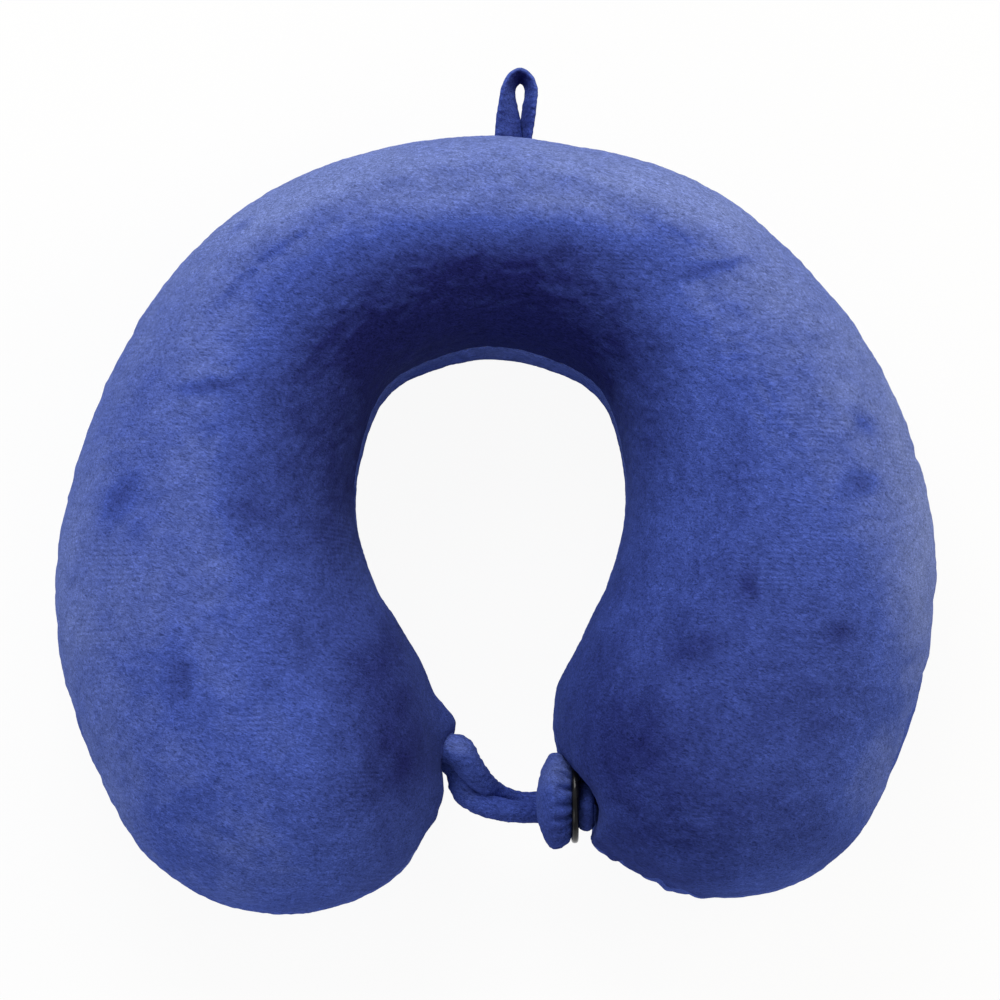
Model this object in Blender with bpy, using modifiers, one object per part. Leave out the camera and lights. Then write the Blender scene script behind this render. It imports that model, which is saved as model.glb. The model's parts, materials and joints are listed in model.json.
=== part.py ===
"""U-shaped travel neck pillow, lying flat on its underside, in metres with +Z up.

A moulded foam core sits in a cover of two velour panels, sewn together round their edge. The cover opens
with a zip that is sunk into its underside. A strip sewn into the back hangs the pillow up. A stretch loop on
the left lobe passes round the shank of a covered button on the right lobe and closes the U. The back of the U
points along +Y, and the left lobe lies at -X.
"""

import math

import bmesh
import bpy
from mathutils import Vector
from mathutils.bvhtree import BVHTree

# Gaps that keep neighbouring pieces apart
TOUCH_GAP = 0.0003
RUN_GAP = 0.0004

# Points nearer than this are one point
SAME_PLACE = 0.00001

# The U seen from above: angles are measured at the neck's centre, from the back, positive to the right
OUTER_RADIUS = 0.1525
OUTER_CENTRE_FORWARD = 0.0300
NECK_BACK_RADIUS = 0.0445
NECK_FRONT_RADIUS = 0.0515
NECK_CENTRE_LEFT = 0.0018
SHOULDER_ANGLE = math.radians(135)
LEFT_TIP_ANGLE = math.radians(170)
RIGHT_TIP_ANGLE = math.radians(167.5)
LEFT_TIP_RADIUS = 0.099
RIGHT_TIP_RADIUS = 0.094

# The section of the U, with its seam on the widest line
SEAM_HEIGHT = 0.046
CREST_HEIGHT_BACK = 0.096
CREST_HEIGHT_FRONT = 0.102
UNDERSIDE_FLATTENING = 0.008
SEAM_DRAW_IN = 0.0015
SEAM_DRAW_IN_SHARE = 0.1
CROWN_POWER = 2.3
UNDERSIDE_POWER = 3.0
LEFT_TIP_POWER = 2.1
RIGHT_TIP_POWER = 1.9
TIP_HEIGHT_POWER = 2.6
TIP_BEND_POWER = 3.7
NECK_WIDENING_POWER = 6.0

# How finely the cover is divided
SECTION_POINTS = 24
BODY_STEPS = 24
TIP_STEPS = 8

# Cover, core and seam
COVER_THICKNESS = 0.0025
CORE_GAP = 0.0006
SEAM_THREAD_RADIUS = 0.0006

# Hang loop, a folded strip at the back
HANG_LOOP_RIGHT = 0.007
HANG_LOOP_LENGTH = 0.0240
HANG_LOOP_STRIP = 0.0045
HANG_LOOP_WIDTH = 0.0062
HANG_LOOP_EYE = 0.0055
HANG_LOOP_ROOT_EYE = 0.0030
HANG_LOOP_SWING = math.radians(75)
HANG_LOOP_ARC_STEPS = 10
HANG_LOOP_END_STEPS = 3
HANG_LOOP_BAND_POINTS = 12

# Covered button, turned about its shank, and the dimple that its thread draws in
BUTTON_FORWARD = 0.108
BUTTON_HEIGHT = 0.054
BUTTON_RADIUS = 0.0162
BUTTON_CROWN = 0.0078
BUTTON_BACK_ROLL = 0.0040
BUTTON_COVER_THICKNESS = 0.0022
BUTTON_COVER_TURN_IN = 0.0050
PLATE_RADIUS = 0.0108
PLATE_THICKNESS = 0.0024
PLATE_SPIGOT_RADIUS = 0.0050
PLATE_SPIGOT_LENGTH = 0.0045
PLATE_BOSS_RADIUS = 0.0026
PLATE_BOSS_LENGTH = 0.0008
SHANK_RADIUS = 0.0012
SHANK_LENGTH = 0.0062
SHANK_GRIP = 0.0022
SHANK_END_GAP = 0.0009
TURNED_STEPS = 40
BUTTON_ROUND_STEPS = 8
DIMPLE_DEPTH = 0.0135
DIMPLE_WIDTH = 0.014
DIMPLE_TALLNESS = 0.026
DIMPLE_BACKWARD = 0.005
DIMPLE_DROP = 0.008

# Closure loop, a velour tube with an elastic cord inside
LOOP_RADIUS = 0.0035
LOOP_BIGHT_RADIUS = 0.0022
LOOP_BORE_RADIUS = 0.0013
ELASTIC_RADIUS = 0.0008
LOOP_ROOT_GAP = 0.0009
LOOP_ROOT_FORWARD = 0.0900
LOOP_ROOT_RISE = 0.0042
LOOP_ROOT_LEAN = 0.0040
LOOP_STRAND_SPACING = 0.0076
LOOP_BIGHT_SPACING = 0.0100
LOOP_BIGHT_RISE = 0.0025
LOOP_HEAD_CLEARANCE = 0.0012
LOOP_BIGHT_CLEARANCE = 0.0007
LOOP_STEPS = 3
TUBE_CORNER_STEPS = 2

# How the loop's strands hang off the straight line from the lobe to the button: share of the way, then how
# far in front of that line and how far above it
UPPER_STRAND_SAG = ((0.20, 0.0042, 0.0014), (0.40, 0.0072, 0.0020), (0.59, 0.0072, 0.0022),
                    (0.79, 0.0042, 0.0016))
LOWER_STRAND_SAG = ((0.13, 0.0012, 0.0000), (0.16, 0.0056, -0.0006), (0.22, 0.0084, -0.0010),
                    (0.35, 0.0090, -0.0012), (0.54, 0.0077, -0.0012), (0.77, 0.0044, -0.0014))

# Zip, sunk into a welted slot in the underside
ZIP_AHEAD_OF_MIDDLE = 0.0115
ZIP_LENGTH = 0.130
ZIP_SLOT_WIDTH = 0.010
ZIP_WELT_WIDTH = 0.008
ZIP_TAPE_WIDTH = 0.012
ZIP_TAPE_THICKNESS = 0.0006
ZIP_TAPE_SPLIT = 0.0020
ZIP_TAPE_OVERRUN = 0.006
ZIP_CORE_CLEARANCE = 0.0012
TOOTH_PITCH = 0.0030
TOOTH_WIDTH = 0.0011
TOOTH_HEIGHT = 0.0015
TOOTH_REACH = 0.0005
TOOTH_ROOT = 0.0010
TOOTH_SPINE = 0.0014
STOP_LENGTH = 0.0020
SLIDER_LENGTH = 0.0120
SLIDER_WIDTH = 0.0080
SLIDER_PLATE = 0.0010
DIVIDER_WIDTH = 0.0010
DIVIDER_LENGTH = 0.0026
BAIL_RADIUS = 0.00045
BAIL_LENGTH = 0.0050
BAIL_POST = 0.0008
PULL_EYE_RADIUS = 0.0013
PULL_EYE_BORE = 0.00085
PULL_EYE_LENGTH = 0.0030
PULL_TAB_LENGTH = 0.0160
PULL_TAB_WIDTH = 0.0056
PULL_TAB_THICKNESS = 0.0012
PULL_NECK_LENGTH = 0.0034
ZIP_END_GAP = 0.0010
SMALL_ROUND_STEPS = 16
JOIN_OVERLAP = 0.0002


def empty_scene():
    """Remove whatever the scene holds."""
    for item in list(bpy.data.objects):
        bpy.data.objects.remove(item, do_unlink=True)


def new_collection(name):
    """Make a collection in the scene."""
    collection = bpy.data.collections.new(name)
    bpy.context.scene.collection.children.link(collection)
    return collection


def new_material(name, colour, roughness, metallic=0.0):
    """Make a Principled material."""
    material = bpy.data.materials.new(name)
    material.use_nodes = True
    shader = material.node_tree.nodes["Principled BSDF"]
    shader.inputs["Base Color"].default_value = (*colour, 1.0)
    shader.inputs["Roughness"].default_value = roughness
    shader.inputs["Metallic"].default_value = metallic
    return material


empty_scene()
PARTS = new_collection("neck_pillow")
CUTTERS = new_collection("cutters")
VELOUR = new_material("blue_velour", (0.040, 0.075, 0.350), 0.85)
FOAM = new_material("cream_foam", (0.800, 0.720, 0.520), 0.95)
THREAD = new_material("blue_thread", (0.030, 0.050, 0.230), 0.70)
ELASTIC = new_material("white_elastic", (0.780, 0.780, 0.760), 0.80)
PLASTIC = new_material("black_plastic", (0.008, 0.008, 0.009), 0.18)
SHELL = new_material("grey_plastic", (0.300, 0.300, 0.310), 0.45)
TAPE = new_material("navy_tape", (0.020, 0.030, 0.140), 0.80)
TEETH = new_material("navy_nylon", (0.025, 0.035, 0.160), 0.40)
METAL = new_material("zip_metal", (0.620, 0.620, 0.640), 0.30, 1.0)

# The whole pillow hangs on one empty, which centres it on its own box at the end
PILLOW = bpy.data.objects.new("pillow", None)
PARTS.objects.link(PILLOW)


def add_part(name, data, material, parent=PILLOW, place=(0.0, 0.0, 0.0)):
    """Put a finished piece in the parts collection, at a place under its parent."""
    item = bpy.data.objects.new(name, data)
    item.location = place
    item.parent = parent
    data.materials.append(material)
    PARTS.objects.link(item)
    return item


def add_cutter(name, data, parent=PILLOW, place=(0.0, 0.0, 0.0)):
    """Put a shape that is cut from, or joined to, a piece in the cutters collection."""
    item = bpy.data.objects.new(name, data)
    item.location = place
    item.parent = parent
    item.hide_render = True
    item.display_type = "WIRE"
    CUTTERS.objects.link(item)
    return item


def add_empty(name, parent, place):
    """Add an empty on a joint's axis."""
    item = bpy.data.objects.new(name, None)
    item.location = place
    item.parent = parent
    PARTS.objects.link(item)
    return item


def combine(piece, other, operation):
    """Cut another shape from a piece, or join it on."""
    modifier = piece.modifiers.new(other.name, "BOOLEAN")
    modifier.object = other
    modifier.operation = operation
    modifier.solver = "EXACT"


def mesh_from(name, shape):
    """Turn a bmesh into mesh data that faces outward."""
    bmesh.ops.recalc_face_normals(shape, faces=shape.faces)
    data = bpy.data.meshes.new(name)
    shape.to_mesh(data)
    shape.free()
    return data


def box_mesh(name, low, high):
    """A box between two corners."""
    shape = bmesh.new()
    bmesh.ops.create_cube(shape, size=1.0)
    low = Vector(low)
    high = Vector(high)
    for vertex in shape.verts:
        share = vertex.co + Vector((0.5, 0.5, 0.5))
        vertex.co = Vector(a + (b - a) * s for a, b, s in zip(low, high, share))
    return mesh_from(name, shape)


def round_mesh(name, radius, length, axis):
    """A round bar centred on the origin along X or Y."""
    shape = bmesh.new()
    bmesh.ops.create_cone(shape, cap_ends=True, segments=SMALL_ROUND_STEPS,
                          radius1=radius, radius2=radius, depth=length)
    for vertex in shape.verts:
        x, y, z = vertex.co
        vertex.co = (z, x, y) if axis == "X" else (y, z, x)
    return mesh_from(name, shape)


def turned_part(name, profile, material, parent):
    """Turn a profile of (radius, forward) points, run from front to back, about the button's axis."""
    shape = bmesh.new()
    corners = [shape.verts.new((radius, 0.0, forward)) for radius, forward in profile]
    for first, second in zip(corners, corners[1:]):
        shape.edges.new((first, second))
    data = bpy.data.meshes.new(name)
    shape.to_mesh(data)
    shape.free()
    item = add_part(name, data, material, parent)
    item.rotation_euler = (0.0, -math.pi / 2, 0.0)
    screw = item.modifiers.new("turn", "SCREW")
    screw.steps = TURNED_STEPS
    screw.render_steps = TURNED_STEPS
    screw.use_merge_vertices = True
    screw.merge_threshold = SAME_PLACE
    return item


def flat_curve(name, outline, thickness):
    """Curve data for a flat outline with a thickness, centred on its plane."""
    data = bpy.data.curves.new(name, "CURVE")
    data.dimensions = "2D"
    data.fill_mode = "BOTH"
    data.extrude = thickness / 2
    spline = data.splines.new("POLY")
    spline.points.add(len(outline) - 1)
    for point, (x, y) in zip(spline.points, outline):
        point.co = (x, y, 0.0, 1.0)
    spline.use_cyclic_u = True
    return data


def tube_curve(name, points, radii, closed=False):
    """Curve data for a round tube along points, with a radius at each."""
    data = bpy.data.curves.new(name, "CURVE")
    data.dimensions = "3D"
    data.bevel_depth = max(radii)
    data.bevel_resolution = TUBE_CORNER_STEPS
    data.use_fill_caps = not closed
    spline = data.splines.new("POLY")
    spline.points.add(len(points) - 1)
    for point, place, radius in zip(spline.points, points, radii):
        point.co = (*place, 1.0)
        point.radius = radius / data.bevel_depth
    spline.use_cyclic_u = closed
    return data


def curve_to_mesh(item):
    """Mesh data with welded caps from a curve object, which is then removed."""
    graph = bpy.context.evaluated_depsgraph_get()
    data = bpy.data.meshes.new_from_object(item.evaluated_get(graph))
    shape = bmesh.new()
    shape.from_mesh(data)
    bmesh.ops.remove_doubles(shape, verts=shape.verts, dist=SAME_PLACE)
    shape.to_mesh(data)
    shape.free()
    data.materials.clear()
    bpy.data.objects.remove(item, do_unlink=True)
    return data


def smooth_route(points, steps):
    """Points on a smooth curve through a route, with some steps between each pair of its points."""
    route = [points[0] * 2 - points[1], *points, points[-1] * 2 - points[-2]]
    smooth = []
    for before, start, end, after in zip(route, route[1:], route[2:], route[3:]):
        for step in range(steps):
            t = step / steps
            smooth.append(0.5 * (2 * start + (end - before) * t
                                 + (2 * before - 5 * start + 4 * end - after) * t * t
                                 + (3 * start - before - 3 * end + after) * t ** 3))
    return [*smooth, points[-1]]


def rounding(share, power):
    """Falls from 1 to 0 as the share goes from 0 to 1, along a rounded quarter."""
    return max(0.0, 1.0 - share ** power) ** (1.0 / power)


def ring_angles():
    """Angles of the rings of the U, from the left tip to the right tip."""
    rounds = [math.sin(math.pi / 2 * step / TIP_STEPS) for step in range(1, TIP_STEPS + 1)]
    left = [-SHOULDER_ANGLE - (LEFT_TIP_ANGLE - SHOULDER_ANGLE) * share for share in reversed(rounds)]
    body = [SHOULDER_ANGLE * (2 * step / BODY_STEPS - 1) for step in range(BODY_STEPS + 1)]
    right = [SHOULDER_ANGLE + (RIGHT_TIP_ANGLE - SHOULDER_ANGLE) * share for share in rounds]
    return left + body + right


def plan_and_fullness(angle):
    """Middle radius and half width of the U at an angle, and the share of its full height there."""
    bearing = max(-SHOULDER_ANGLE, min(SHOULDER_ANGLE, angle))
    outer = (math.sqrt(OUTER_RADIUS ** 2 - (OUTER_CENTRE_FORWARD * math.sin(bearing)) ** 2)
             - OUTER_CENTRE_FORWARD * math.cos(bearing))
    widening = (abs(bearing) / SHOULDER_ANGLE) ** NECK_WIDENING_POWER
    inner = (NECK_BACK_RADIUS + (NECK_FRONT_RADIUS - NECK_BACK_RADIUS) * widening
             - NECK_CENTRE_LEFT * math.sin(bearing))
    middle = (outer + inner) / 2
    half_width = (outer - inner) / 2
    if abs(angle) <= SHOULDER_ANGLE:
        return middle, half_width, 1.0
    tip_angle = RIGHT_TIP_ANGLE if angle > 0 else LEFT_TIP_ANGLE
    tip_radius = RIGHT_TIP_RADIUS if angle > 0 else LEFT_TIP_RADIUS
    power = RIGHT_TIP_POWER if angle > 0 else LEFT_TIP_POWER
    share = min(1.0, (abs(angle) - SHOULDER_ANGLE) / (tip_angle - SHOULDER_ANGLE))
    middle += (tip_radius - middle) * share ** TIP_BEND_POWER
    return middle, half_width * rounding(share, power), rounding(share, TIP_HEIGHT_POWER)


def cover_point(angle, turn):
    """Point of the cover's outside at an angle round the U and a turn round its section.

    The turn starts on the outer seam, rises over the crest to the inner seam and returns underneath.
    """
    middle, half_width, fullness = plan_and_fullness(angle)
    power = CROWN_POWER if turn <= math.pi else UNDERSIDE_POWER
    across = math.copysign(abs(math.cos(turn)) ** (2 / power), math.cos(turn))
    up = math.copysign(abs(math.sin(turn)) ** (2 / power), math.sin(turn))
    radius = middle + half_width * across
    if abs(math.sin(turn)) < SAME_PLACE:
        radius -= math.copysign(min(SEAM_DRAW_IN, SEAM_DRAW_IN_SHARE * half_width), across)
    crest = CREST_HEIGHT_BACK + (CREST_HEIGHT_FRONT - CREST_HEIGHT_BACK) * math.sin(angle / 2) ** 2
    rise = crest - SEAM_HEIGHT if turn <= math.pi else SEAM_HEIGHT + UNDERSIDE_FLATTENING
    height = max(0.0, SEAM_HEIGHT + rise * fullness * up)
    point = Vector((radius * math.sin(angle), radius * math.cos(angle), height))
    if angle > SHOULDER_ANGLE:
        aside = (point.y + BUTTON_FORWARD - DIMPLE_BACKWARD) / DIMPLE_WIDTH
        above = (point.z - BUTTON_HEIGHT + DIMPLE_DROP) / DIMPLE_TALLNESS
        point.x += DIMPLE_DEPTH * math.exp(-aside * aside - above * above)
    return point


def cover_shape(half=None):
    """The cover's outside as a sphere bent round the U, or one half of it with the seam held open."""
    angles = ring_angles()
    steps = len(angles) - 1
    shape = bmesh.new()
    bmesh.ops.create_uvsphere(shape, u_segments=SECTION_POINTS, v_segments=steps, radius=1.0)
    places = {}
    for vertex in shape.verts:
        ring = round(math.acos(max(-1.0, min(1.0, vertex.co.z))) / math.pi * steps)
        place = round(math.atan2(vertex.co.y, vertex.co.x) / (2 * math.pi) * SECTION_POINTS) % SECTION_POINTS
        at_tip = ring in (0, steps)
        places[vertex] = None if at_tip else place
        vertex.co = cover_point(angles[ring], 0.0 if at_tip else 2 * math.pi * place / SECTION_POINTS)
    if shape.calc_volume(signed=True) < 0.0:
        bmesh.ops.reverse_faces(shape, faces=shape.faces)
    if half is None:
        return shape
    seam = SECTION_POINTS // 2
    unwanted = []
    for face in shape.faces:
        highest = max(places[vertex] for vertex in face.verts if places[vertex] is not None)
        if (highest <= seam) != (half == "upper"):
            unwanted.append(face)
    bmesh.ops.delete(shape, geom=unwanted, context="FACES")
    opening = SEAM_THREAD_RADIUS + TOUCH_GAP
    for vertex in shape.verts:
        if vertex.is_boundary:
            vertex.co.z += opening if half == "upper" else -opening
    return shape


def cover_mesh(name, half=None):
    """Mesh data of the cover's outside, or of one half, keeping the way its faces point."""
    shape = cover_shape(half)
    data = bpy.data.meshes.new(name)
    shape.to_mesh(data)
    shape.free()
    return data


def wall_point(start, direction):
    """Where a straight line from outside first meets the cover."""
    place, normal, face, distance = COVER_TREE.ray_cast(Vector(start), Vector(direction))
    return place


OUTSIDE = cover_shape()
COVER_TREE = BVHTree.FromBMesh(OUTSIDE)
FRONT_EDGE = min(vertex.co.y for vertex in OUTSIDE.verts)
LEFT_EDGE = min(vertex.co.x for vertex in OUTSIDE.verts)
RIGHT_EDGE = max(vertex.co.x for vertex in OUTSIDE.verts)
OUTSIDE.free()

# Heights of the zip, stacked up from the surface that the pillow lies on
PULL_AXIS_HEIGHT = PULL_EYE_RADIUS + TOUCH_GAP
SLIDER_BOTTOM = PULL_AXIS_HEIGHT + PULL_EYE_RADIUS + RUN_GAP
TEETH_BOTTOM = SLIDER_BOTTOM + SLIDER_PLATE + RUN_GAP
TEETH_TOP = TEETH_BOTTOM + TOOTH_HEIGHT
TAPE_BOTTOM = TEETH_TOP + TOUCH_GAP
TAPE_TOP = TAPE_BOTTOM + ZIP_TAPE_THICKNESS
SLIDER_TOP = TAPE_TOP + RUN_GAP + SLIDER_PLATE
WELT_TOP = TAPE_BOTTOM - TOUCH_GAP

# The zip lies across the back of the U, a little ahead of the middle of its width
ZIP_BACKWARD = plan_and_fullness(0.0)[0] - ZIP_AHEAD_OF_MIDDLE

# Lengths along the zip
CHAIN_END = ZIP_LENGTH / 2 - DIVIDER_LENGTH - STOP_LENGTH - 2 * RUN_GAP - ZIP_END_GAP
SLIDER_REST = CHAIN_END + RUN_GAP + DIVIDER_LENGTH - SLIDER_LENGTH / 2
PULL_REACH = PULL_NECK_LENGTH + PULL_TAB_LENGTH
SLIDER_FAR = -ZIP_LENGTH / 2 + PULL_REACH + ZIP_END_GAP


def make_core():
    """Foam core, the cover's shape shrunk by the cover, with a channel for the zip."""
    core = add_part("foam_core", cover_mesh("foam_core"), FOAM)
    shrink = core.modifiers.new("shrink", "DISPLACE")
    shrink.strength = -(COVER_THICKNESS + CORE_GAP)
    shrink.mid_level = 0.0
    reach = ZIP_LENGTH / 2 + max(ZIP_TAPE_OVERRUN, ZIP_WELT_WIDTH) + ZIP_CORE_CLEARANCE
    side = ZIP_TAPE_SPLIT / 2 + max(ZIP_TAPE_WIDTH, ZIP_SLOT_WIDTH / 2 + ZIP_WELT_WIDTH) + ZIP_CORE_CLEARANCE
    channel = box_mesh("zip_channel", (-reach, ZIP_BACKWARD - side, -COVER_THICKNESS),
                       (reach, ZIP_BACKWARD + side, SLIDER_TOP + ZIP_CORE_CLEARANCE))
    combine(core, add_cutter("zip_channel", channel), "DIFFERENCE")


def make_panel(name, half):
    """One half of the cover as a shell of its thickness."""
    panel = add_part(name, cover_mesh(name, half), VELOUR)
    shell = panel.modifiers.new("thickness", "SOLIDIFY")
    shell.thickness = COVER_THICKNESS
    shell.offset = -1.0
    return panel


def make_cover():
    """Both halves of the cover, the lower one with a welted slot for the zip."""
    make_panel("top_panel", "upper")
    bottom = make_panel("bottom_panel", "lower")
    half_length = ZIP_LENGTH / 2
    half_width = ZIP_SLOT_WIDTH / 2
    welt = box_mesh("zip_welt",
                    (-half_length - ZIP_WELT_WIDTH, ZIP_BACKWARD - half_width - ZIP_WELT_WIDTH,
                     COVER_THICKNESS / 2),
                    (half_length + ZIP_WELT_WIDTH, ZIP_BACKWARD + half_width + ZIP_WELT_WIDTH, WELT_TOP))
    slot = box_mesh("zip_slot", (-half_length, ZIP_BACKWARD - half_width, -COVER_THICKNESS),
                    (half_length, ZIP_BACKWARD + half_width, WELT_TOP + COVER_THICKNESS))
    combine(bottom, add_cutter("zip_welt", welt), "UNION")
    combine(bottom, add_cutter("zip_slot", slot), "DIFFERENCE")


def make_seam():
    """Thread in the groove between the two halves, all the way round the pillow's edge."""
    angles = ring_angles()
    outer = [cover_point(angle, 0.0) for angle in angles]
    inner = [cover_point(angle, math.pi) for angle in reversed(angles[1:-1])]
    edge = outer + inner
    sunk = []
    for before, here, after in zip(edge[-1:] + edge[:-1], edge, edge[1:] + edge[:1]):
        along = (after - before).normalized()
        sunk.append(here + Vector((along.y, -along.x, 0.0)) * SEAM_THREAD_RADIUS)
    add_part("seam_thread", tube_curve("seam_thread", sunk, [SEAM_THREAD_RADIUS] * len(sunk), closed=True),
             THREAD)


def make_hang_loop():
    """Folded strip at the back, a flat band swept round the loop, with ends rounded about the hinge."""
    wall = wall_point((HANG_LOOP_RIGHT, 2 * OUTER_RADIUS, SEAM_HEIGHT), (0.0, -1.0, 0.0))
    end_round = HANG_LOOP_WIDTH / 2
    root = wall + Vector((0.0, RUN_GAP + end_round, 0.0))
    tip = wall.y + HANG_LOOP_LENGTH
    bend = (HANG_LOOP_EYE + HANG_LOOP_STRIP) / 2
    foot = (HANG_LOOP_ROOT_EYE + HANG_LOOP_STRIP) / 2
    bend_centre = tip - HANG_LOOP_STRIP / 2 - bend - root.y
    ends = [HANG_LOOP_SWING * step / HANG_LOOP_END_STEPS for step in range(HANG_LOOP_END_STEPS, -1, -1)]
    leg = [Vector((-foot, -end_round * math.sin(turn), 0.0)) for turn in ends]
    leg_radii = [math.cos(turn) for turn in ends]
    sweep = [math.pi * (1 - step / HANG_LOOP_ARC_STEPS) for step in range(HANG_LOOP_ARC_STEPS + 1)]
    arc = [Vector((bend * math.cos(turn), bend_centre + bend * math.sin(turn), 0.0)) for turn in sweep]
    other_leg = [Vector((-place.x, place.y, 0.0)) for place in reversed(leg)]
    axis = add_empty("hang_loop_axis", PILLOW, root)
    turns = [-2 * math.pi * step / HANG_LOOP_BAND_POINTS for step in range(HANG_LOOP_BAND_POINTS)]
    band = flat_curve("hang_loop_band", [(HANG_LOOP_STRIP / 2 * math.cos(turn), end_round * math.sin(turn))
                                         for turn in turns], 0.0)
    strip = tube_curve("hang_loop", leg + arc + other_leg, leg_radii + [1.0] * len(arc) + leg_radii[::-1])
    strip.bevel_mode = "OBJECT"
    strip.bevel_object = add_cutter("hang_loop_band", band, axis)
    strip.twist_mode = "Z_UP"
    add_part("hang_loop", strip, VELOUR, axis)
    return axis, tip


def make_button():
    """Covered head, its back plate and the thread shank that ties it to the right lobe."""
    wall = wall_point((0.0, -BUTTON_FORWARD, BUTTON_HEIGHT), (1.0, 0.0, 0.0))
    shank_end = SHANK_LENGTH + SHANK_END_GAP
    axis = add_empty("button_axis", PILLOW, wall - Vector((shank_end, 0.0, 0.0)))

    # Forward distances are measured from the plate's back face, along the button's axis
    plate_front = PLATE_THICKNESS
    roll_back = plate_front + TOUCH_GAP
    widest = roll_back + BUTTON_BACK_ROLL
    crown = widest + BUTTON_CROWN
    wrap = BUTTON_COVER_THICKNESS
    quarter = [math.pi / 2 * step / BUTTON_ROUND_STEPS for step in range(BUTTON_ROUND_STEPS + 1)]
    coarse = quarter[2::2]
    outside = [(BUTTON_RADIUS * math.sin(turn), widest + BUTTON_CROWN * math.cos(turn)) for turn in quarter]
    rolled = [(BUTTON_RADIUS - BUTTON_BACK_ROLL * (1 - math.cos(turn)),
               widest - BUTTON_BACK_ROLL * math.sin(turn)) for turn in coarse]
    hem = BUTTON_RADIUS - BUTTON_BACK_ROLL - BUTTON_COVER_TURN_IN
    inner_radius = BUTTON_RADIUS - wrap
    inner_roll = BUTTON_BACK_ROLL - wrap
    lining_roll = [(inner_radius - inner_roll * (1 - math.cos(turn)),
                    widest - inner_roll * math.sin(turn)) for turn in reversed(coarse)]
    lining = [(inner_radius * math.sin(turn), widest + (BUTTON_CROWN - wrap) * math.cos(turn))
              for turn in reversed(quarter)]
    turned_part("button_cover", [*outside, *rolled, (hem, roll_back), (hem, roll_back + wrap), *lining_roll,
                                 *lining], VELOUR, axis)

    dome_radius = inner_radius - TOUCH_GAP
    dome_crown = BUTTON_CROWN - wrap - TOUCH_GAP
    dome_back = roll_back + wrap + TOUCH_GAP
    dome = [(dome_radius * math.sin(turn), widest + dome_crown * math.cos(turn)) for turn in quarter]
    dome_roll = inner_roll - TOUCH_GAP
    dome_edge = [(dome_radius - dome_roll * (1 - math.cos(turn)), widest - dome_roll * math.sin(turn))
                 for turn in coarse]
    socket = PLATE_SPIGOT_RADIUS + TOUCH_GAP
    socket_floor = plate_front + PLATE_SPIGOT_LENGTH + TOUCH_GAP
    turned_part("button_dome", [*dome, *dome_edge, (socket, dome_back), (socket, socket_floor),
                                (0.0, socket_floor)], SHELL, axis)

    bore = SHANK_RADIUS + RUN_GAP
    bore_floor = SHANK_GRIP + RUN_GAP - PLATE_BOSS_LENGTH
    turned_part("button_back_plate", [(0.0, plate_front + PLATE_SPIGOT_LENGTH),
                                      (PLATE_SPIGOT_RADIUS, plate_front + PLATE_SPIGOT_LENGTH),
                                      (PLATE_SPIGOT_RADIUS, plate_front), (PLATE_RADIUS, plate_front),
                                      (PLATE_RADIUS, 0.0), (PLATE_BOSS_RADIUS, 0.0),
                                      (PLATE_BOSS_RADIUS, -PLATE_BOSS_LENGTH), (bore, -PLATE_BOSS_LENGTH),
                                      (bore, bore_floor), (0.0, bore_floor)], PLASTIC, axis)

    # The shank reaches from inside the plate's boss to just short of the cover
    shank_front = SHANK_GRIP - PLATE_BOSS_LENGTH
    shank = round_mesh("button_thread", SHANK_RADIUS, SHANK_LENGTH + shank_front, "X")
    middle = axis.location + Vector(((SHANK_LENGTH - shank_front) / 2, 0.0, 0.0))
    add_part("button_thread", shank, THREAD, PILLOW, middle)
    return axis, widest


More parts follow.
